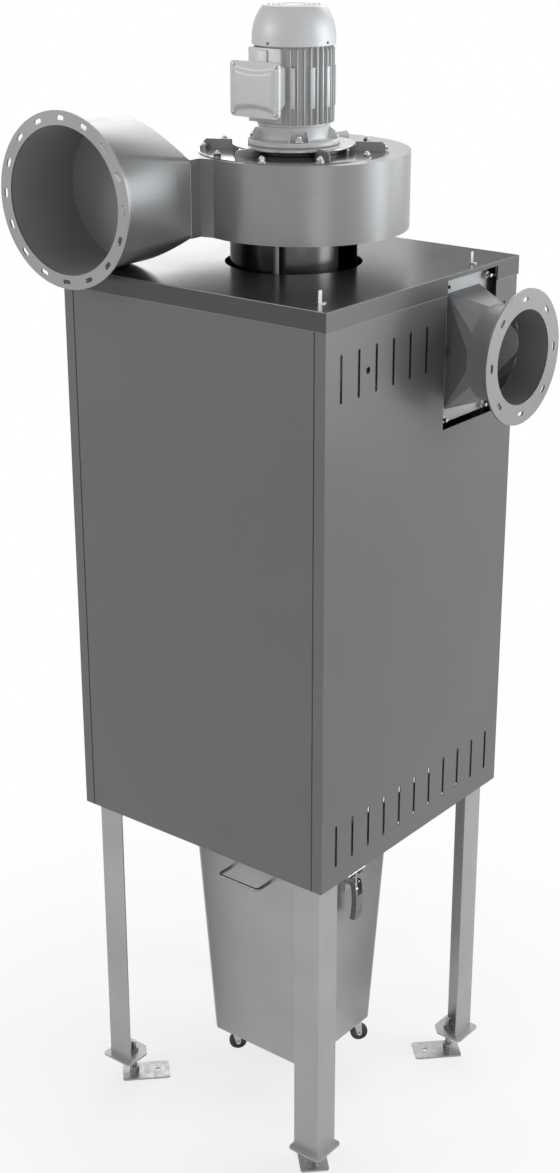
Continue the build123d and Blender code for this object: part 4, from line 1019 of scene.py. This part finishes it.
def add_terminal_box(finish):
    """The box behind the cover, drawn in towards the motor and down to its shield."""
    low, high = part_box("terminal_box")
    sections = (
        (high[1], (-0.045, 0.045), (low[2] + 0.022, high[2] - 0.012)),
        (COVER_HIGH[1] + 0.014, (low[0] + 0.004, high[0] - 0.016), (low[2] + 0.004, high[2] - 0.004)),
        (COVER_HIGH[1], (low[0], high[0] - 0.006), (low[2], high[2])),
    )
    shape = bmesh.new()
    radius = 0.012
    rings = []
    for y, (west, east), (south, north) in sections:
        ring = []
        centres = (
            (east - radius, north - radius, 0), (west + radius, north - radius, 90),
            (west + radius, south + radius, 180), (east - radius, south + radius, 270),
        )
        for x, z, first_turn in centres:
            for turn in range(first_turn, first_turn + 91, 15):
                across, up = polar(radius, turn)
                ring.append(shape.verts.new((x + across, y, z + up)))
        rings.append(ring)
    bridge(shape, rings)
    shape.faces.new(rings[0])
    shape.faces.new(list(reversed(rings[-1])))
    body = add_piece("drawn_terminal_box", mesh_from(shape, finish, 50), BODY)
    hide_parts("terminal_box")


def add_cover_screws(tree, finish):
    """A screw in each corner of the terminal box's cover."""
    inset = 0.011
    places = []
    for across in (-1, 1):
        for up in (-1, 1):
            x = (COVER_HIGH[0] + COVER_LOW[0]) / 2 + across * ((COVER_HIGH[0] - COVER_LOW[0]) / 2 - inset)
            z = (COVER_HIGH[2] + COVER_LOW[2]) / 2 + up * ((COVER_HIGH[2] - COVER_LOW[2]) / 2 - inset)
            places.append((x, COVER_LOW[1] + 0.0063, z))
    sizes = fastener_sizes((0.0046, 0.0022), (0.0058, 0.0006), (0.0034, 0.001), finish)
    grow("cover_screws", tree, spots(places, [(0, -1, 0)] * 4), sizes, BODY)


# ---- fan top and motor

RIB_HEIGHT = 0.0245
DISC_TOP = FAN_PLATE_TOP + 0.0185
DISC_SHEET = 0.005
FLANGE_TOP = DISC_TOP + 0.0135
MOTOR_BORE = 0.02
SHIELD_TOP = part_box("motor_body")[0][2]
COWL_RIM = COWL_FOOT + 0.0105


def add_fan_ribs(tree, finish):
    """Radial plates that stiffen the fan's top and carry the motor's disc."""
    shape = bmesh.new()
    start, disc_end, end = 0.15, 0.1675, 0.247
    step = DISC_TOP - DISC_SHEET - FAN_PLATE_TOP
    outline = (
        (start, 0), (end, 0), (end, RIB_HEIGHT - 0.008), (0.239, RIB_HEIGHT), (disc_end, RIB_HEIGHT),
        (disc_end, step), (start, step),
    )
    slab(shape, outline, 0.005, FAN_PLATE_TOP)
    ribs = repeat_round("fan_ribs", tree, shape, range(30, 390, 60), finish)
    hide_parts("back_plate_ribs")


def add_motor_disc(finish):
    """The mirror-flat disc that the motor stands on."""
    shape = bmesh.new()
    bore, face_edge, edge = 0.022, 0.1655, 0.1665
    foot = DISC_TOP - DISC_SHEET
    profile = (
        (bore, foot), (face_edge, foot), (edge, DISC_TOP - 0.004), (edge, DISC_TOP - 0.001),
        (face_edge, DISC_TOP), (bore, DISC_TOP),
    )
    turn_profile(shape, profile, UPRIGHT, SMOOTH_SIDES)
    disc = add_piece("motor_mount_disc", mesh_from(shape, finish), BODY)
    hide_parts("motor_disc")


def add_disc_shade_ring(finish):
    """A near-black ring between the fan's top plate and the motor's disc: painted shade under the disc."""
    shape = bmesh.new()
    inner, foot_edge, outer = 0.139, 0.1425, 0.144
    low, high = FAN_PLATE_TOP, DISC_TOP - DISC_SHEET
    profile = ((inner, low), (foot_edge, low), (outer, low + 0.0015), (outer, high), (inner, high))
    turn_profile(shape, profile, UPRIGHT, SMOOTH_SIDES)
    add_piece("disc_seat", mesh_from(shape, finish), BODY)


def add_motor_shield(finish):
    """The motor's foot: a flange with a rolled rim, and the barrel of its end shield."""
    shape = bmesh.new()
    rim, head = 0.125, 0.0985
    profile = (
        (MOTOR_BORE, DISC_TOP), (0.1225, DISC_TOP), (rim, DISC_TOP + 0.0025), (rim, FLANGE_TOP - 0.003),
        (0.122, FLANGE_TOP), (0.098, FLANGE_TOP + 0.0005), (0.0935, FLANGE_TOP + 0.004),
        (0.0925, FLANGE_TOP + 0.012), (0.096, SHIELD_TOP - 0.006), (head, SHIELD_TOP - 0.003),
        (head, SHIELD_TOP), (MOTOR_BORE, SHIELD_TOP),
    )
    turn_profile(shape, profile, UPRIGHT, SMOOTH_SIDES)
    shield = add_piece("motor_end_shield", mesh_from(shape, finish, 30), BODY)
    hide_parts("motor_shield")


def add_shield_webs(tree, finish):
    """Upright webs beside each flange bolt, cast on the shield."""
    shape = bmesh.new()
    start, foot, height = 0.09, 0.1185, 0.026
    outline = ((start, 0), (foot, 0), (foot, 0.004), (0.104, height), (start, height))
    slab(shape, outline, 0.0035, FLANGE_TOP)
    first_bolt, beside_bolt = 45, 13
    angles = [first_bolt + 90 * step + side * beside_bolt for step in range(4) for side in (-1, 1)]
    repeat_round("shield_webs", tree, shape, angles, finish)


def add_motor_core(finish):
    """The motor's barrel, from the shield up into the cowl, in a darker copy of the motor's enamel: painted
    shade between the fins.
    """
    shape = bmesh.new()
    radius, top = 0.0995, COWL_RIM + 0.008
    profile = ((MOTOR_BORE, SHIELD_TOP), (radius, SHIELD_TOP), (radius, top), (MOTOR_BORE, top))
    turn_profile(shape, profile, UPRIGHT, SMOOTH_SIDES)
    core = add_piece("motor_barrel", mesh_from(shape, finish), BODY)
    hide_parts("motor_body")


def add_motor_fins(tree, finish):
    """Upright cooling fins with chamfered tops, left out behind the terminal box."""
    shape = bmesh.new()
    top = COWL_RIM - 0.001
    root, tip, foot = 0.0985, 0.109, SHIELD_TOP + 0.001
    outline = (
        (root, foot), (0.1075, foot), (tip, SHIELD_TOP + 0.003), (tip, top - 0.009), (0.1015, top),
        (root, top),
    )
    slab(shape, outline, 0.0032)
    box_start, box_end = 225, 301
    angles = [angle for angle in range(3, 363, 10) if not box_start < angle < box_end]
    repeat_round("motor_fins", tree, shape, angles, finish)


def add_motor_pads(tree, finish):
    """Flat fixing pads among the fins, on both sides of the motor."""
    shape = bmesh.new()
    root, face, half_wide, half_high = 0.098, 0.1118, 0.0065, 0.052
    box_at(shape, (root, -half_wide, -half_high), (face, half_wide, half_high))
    round_edges(shape, 0.0007)
    middle = (COVER_LOW[2] + COVER_HIGH[2]) / 2
    first_turn, step_turn = -54, 28.5
    angles = [first_turn + step_turn * step for step in range(4)]
    angles += [180 - angle for angle in angles]
    places = [(0, 0, middle)] * len(angles)
    repeat_round("motor_pads", tree, shape, angles, finish, places)


def add_box_saddle(finish):
    """The flat cast seat of the terminal box, which runs up to the cowl."""
    shape = bmesh.new()
    box_at(shape, (-0.072, -0.1035, SHIELD_TOP + 0.006), (0.036, -0.06, COWL_RIM - 0.004))
    box_at(shape, (-0.05, -0.1085, SHIELD_TOP + 0.02), (-0.006, -0.07, COWL_RIM - 0.010))
    round_edges(shape, 0.002)
    add_piece("terminal_seat", mesh_from(shape, finish), BODY)


COWL_RADIUS = 0.112
COWL_INSIDE = 0.11
DOME_START = COWL_RIM + 0.0165
DOME_REACH = 0.13328
DOME_STEPS = 14


def dome_point(foot_radius, step):
    """Point (radius, height) of the cowl's domed side, a step up from its straight foot."""
    height = (COWL_TOP - 0.0015 - DOME_START) * step / DOME_STEPS
    return foot_radius - DOME_REACH + math.sqrt(DOME_REACH ** 2 - height ** 2), DOME_START + height


def add_motor_cowl(finish):
    """The fan cowl: a domed pressing with a ringed grille on its flat top."""
    shape = bmesh.new()
    groove_half, groove_floor_half, groove_depth, top_sheet = 0.003, 0.0025, 0.003, 0.006
    profile = [(0.1105, COWL_RIM), (COWL_RADIUS, COWL_RIM + 0.0012), (COWL_RADIUS, DOME_START)]
    profile += [dome_point(COWL_RADIUS, step) for step in range(1, DOME_STEPS + 1)]
    profile.append((0.0815, COWL_TOP))
    for radius in (0.068, 0.055, 0.042, 0.029):
        profile += [(radius + groove_half, COWL_TOP), (radius + groove_floor_half, COWL_TOP - groove_depth)]
        profile += [(radius - groove_floor_half, COWL_TOP - groove_depth), (radius - groove_half, COWL_TOP)]
    profile += [(0, COWL_TOP), (0, COWL_TOP - top_sheet), (0.078, COWL_TOP - top_sheet)]
    profile += [dome_point(COWL_INSIDE, step) for step in reversed(range(DOME_STEPS))]
    profile.append((COWL_INSIDE, COWL_RIM))
    turn_profile(shape, profile, UPRIGHT, SMOOTH_SIDES)
    cowl = add_piece("domed_cowl", mesh_from(shape, finish, 30), BODY)
    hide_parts("motor_cowl")


# ---- casters

WHEEL_RADIUS = 0.0285
CASTER_TRAIL = 0.020
CASTER_SETBACK = 0.14
AXLE_HALF = 0.0164
TRAIL_ANGLE = 45


def caster_frame(corner):
    """Frame at the wheel's centre, with Z along its axle."""
    low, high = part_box(f"caster_wheel_{corner}")
    centre = [(low[axis] + high[axis]) / 2 for axis in range(3)]
    across, along = polar(1, TRAIL_ANGLE)
    return facing(centre, (-along, across, 0))


def add_caster_wheels(tyre_finish, hub_finish):
    """Rubber tyres with a crowned tread on dark hubs."""
    for corner in CORNERS:
        shape = bmesh.new()
        tyre = (
            (0.0175, -0.010), (0.0245, -0.011), (0.0275, -0.0085), (WHEEL_RADIUS, -0.003),
            (WHEEL_RADIUS, 0.003), (0.0275, 0.0085), (0.0245, 0.011), (0.0175, 0.010),
        )
        turn_profile(shape, tyre, caster_frame(corner), 48)
        mesh = mesh_from(shape, tyre_finish)
        wheel = add_piece(f"caster_tyre_{corner}", mesh, f"wheel_{corner}")
        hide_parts(f"caster_wheel_{corner}")
        shape = bmesh.new()
        hub = (
            (0.0042, -0.0115), (0.0085, -0.0115), (0.0095, -0.008), (0.0175, -0.0075), (0.0182, 0),
            (0.0175, 0.0075), (0.0095, 0.008), (0.0085, 0.0115), (0.0042, 0.0115),
        )
        turn_profile(shape, hub, caster_frame(corner), 32)
        add_piece(f"caster_hub_{corner}", mesh_from(shape, hub_finish), f"wheel_{corner}")


def fork_shape(crown, axle):
    """A pressed fork that trails along +X: two cheeks, a crown plate and a pin, at their heights."""
    eye_radius, cheek_middle, cheek_sheet = 0.0078, 0.0152, 0.0025
    outline = [(-0.019, crown), (0.021, crown), (0.0265, crown - 0.008)]
    for turn in range(0, -181, -20):
        across, up = polar(eye_radius, turn)
        outline.append((CASTER_TRAIL + across, axle + up))
    outline += [(0.002, crown - 0.014), (-0.017, crown - 0.006)]
    shape = bmesh.new()
    for cheek in (-cheek_middle, cheek_middle):
        start = len(shape.verts)
        slab(shape, outline, cheek_sheet)
        shape.verts.ensure_lookup_table()
        for vertex in shape.verts[start:]:
            vertex.co.y += cheek
    bore, face_edge, edge, pin_radius = 0.006, 0.0205, 0.0215, 0.004
    plate = (
        (bore, crown - 0.0028), (face_edge, crown - 0.0028), (edge, crown - 0.0014), (face_edge, crown),
        (bore, crown),
    )
    turn_profile(shape, plate, UPRIGHT, 32)
    pin = ((0, -AXLE_HALF), (pin_radius, -AXLE_HALF), (pin_radius, AXLE_HALF), (0, AXLE_HALF))
    turn_profile(shape, pin, facing((CASTER_TRAIL, 0, axle), (0, 1, 0)), 16)
    return shape


def add_caster_forks(tree, finish):
    """Pressed forks with broad cheeks, and the nuts on their axles."""
    for corner, (side_x, side_y) in CORNERS.items():
        wheel_low, wheel_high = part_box(f"caster_wheel_{corner}")
        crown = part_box(f"caster_fork_{corner}")[1][2]
        axle = (wheel_low[2] + wheel_high[2]) / 2
        shape = fork_shape(crown, axle)
        turn = Matrix.Rotation(math.radians(TRAIL_ANGLE), 4, "Z")
        matrix = Matrix.Translation((CASTER_SETBACK * side_x, CASTER_SETBACK * side_y, 0)) @ turn
        bmesh.ops.transform(shape, matrix=matrix, verts=shape.verts)
        body = f"caster_{corner}"
        fork = add_piece(f"pressed_fork_{corner}", mesh_from(shape, finish), body)
        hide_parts(f"caster_fork_{corner}")
        across = matrix.to_3x3() @ Vector((0, 1, 0))
        ends = [matrix @ Vector((CASTER_TRAIL, side * AXLE_HALF, axle)) for side in (-1, 1)]
        sizes = fastener_sizes((0.0055, 0.0035), (0.0068, 0.0008), (0.0035, 0.0012), finish)
        grow(f"axle_nuts_{corner}", tree, spots(ends, [-across, across]), sizes, body)


# ---- studio, finishes and pieces in turn

add_camera()
finishes = make_finishes()
dress_nodes(finishes)
dress_lid(finishes)
dress_inlet_plate(finishes)
fastener = fastener_tree()
add_fan_nuts(fastener, finishes["bright"])
add_motor_bolts(fastener, finishes["bright"])
add_inlet_nuts(fastener, finishes["bright"])
add_cowl_screws(fastener, finishes["lever"])
add_cover_screws(fastener, finishes["bright"])
bead = bead_tree()
turned = turned_tree()
add_skirt_hem_highlight(bead, finishes["inlet"])
add_lid_edge_highlight(bead, finishes["flange"])
add_seam_shade_strips(bead, finishes["seal"])
add_base_rails(finishes["panel"])
add_outlet_hood(finishes["fan"], finishes["inside"])
add_hood_seam(bead, finishes["zinc"])
add_slot_shade_rims(turned, finishes["shadow"])
add_fan_ribs(turned, finishes["fan"])
add_motor_disc(finishes["disc"])
# the collar's near-black finish on this ring is painted shade under the disc
add_disc_shade_ring(finishes["collar"])
add_motor_shield(finishes["motor"])
add_shield_webs(turned, finishes["motor"])
add_motor_core(finishes["motor_shaded"])
add_motor_fins(turned, finishes["motor"])
add_motor_pads(turned, finishes["motor"])
add_box_saddle(finishes["motor"])
add_motor_cowl(finishes["motor"])
add_terminal_cover(finishes["motor"])
add_terminal_box(finishes["motor"])
add_caster_wheels(finishes["tread"], finishes["nylon"])
add_caster_forks(fastener, finishes["bright"])
add_collar_lip(finishes["lip"])

add_world()
add_floor()
add_card("corner_card", (-1.2, 3.9, 3.45), 1.8, 1.1)
add_card("overhead_card", (2.1, 2.6, 6.3), 3.2, 3.0)
add_lamp("upper_back_softbox", (-1.7, 4.7, 6.2), (0, 0, 2.9), (5.6, 2.6), 140)
add_lamp("lower_back_softbox", (-4.5, 4.1, 4.0), (0, 0, 2.8), (2.0, 1.3), 17)
add_lamp("low_strip", (2.1, 4.5, 2.55), (0, 0, 2.8), (2.2, 0.8), 16)
add_lamp("scroll_strip", (3.9, 3.2, 1.8), (0, 0, 2.8), (1.1, 1.6), 12)
add_lamp("front_strip", (4.15, -2.8, 1.7), (0, 0, 2.8), (1.8, 1.5), 14)
add_lamp("right_softbox", (4.8, 3.2, 3.7), (0, 0, 2.2), (3.4, 3.4), 170, (0.93, 0.97, 1))
add_lamp("left_softbox", (-3.0, -4.8, 4.4), (0, 0, 2.0), (1.8, 1.8), 68, (1, 0.97, 0.93))

scene = bpy.context.scene
scene.view_settings.view_transform = "Standard"
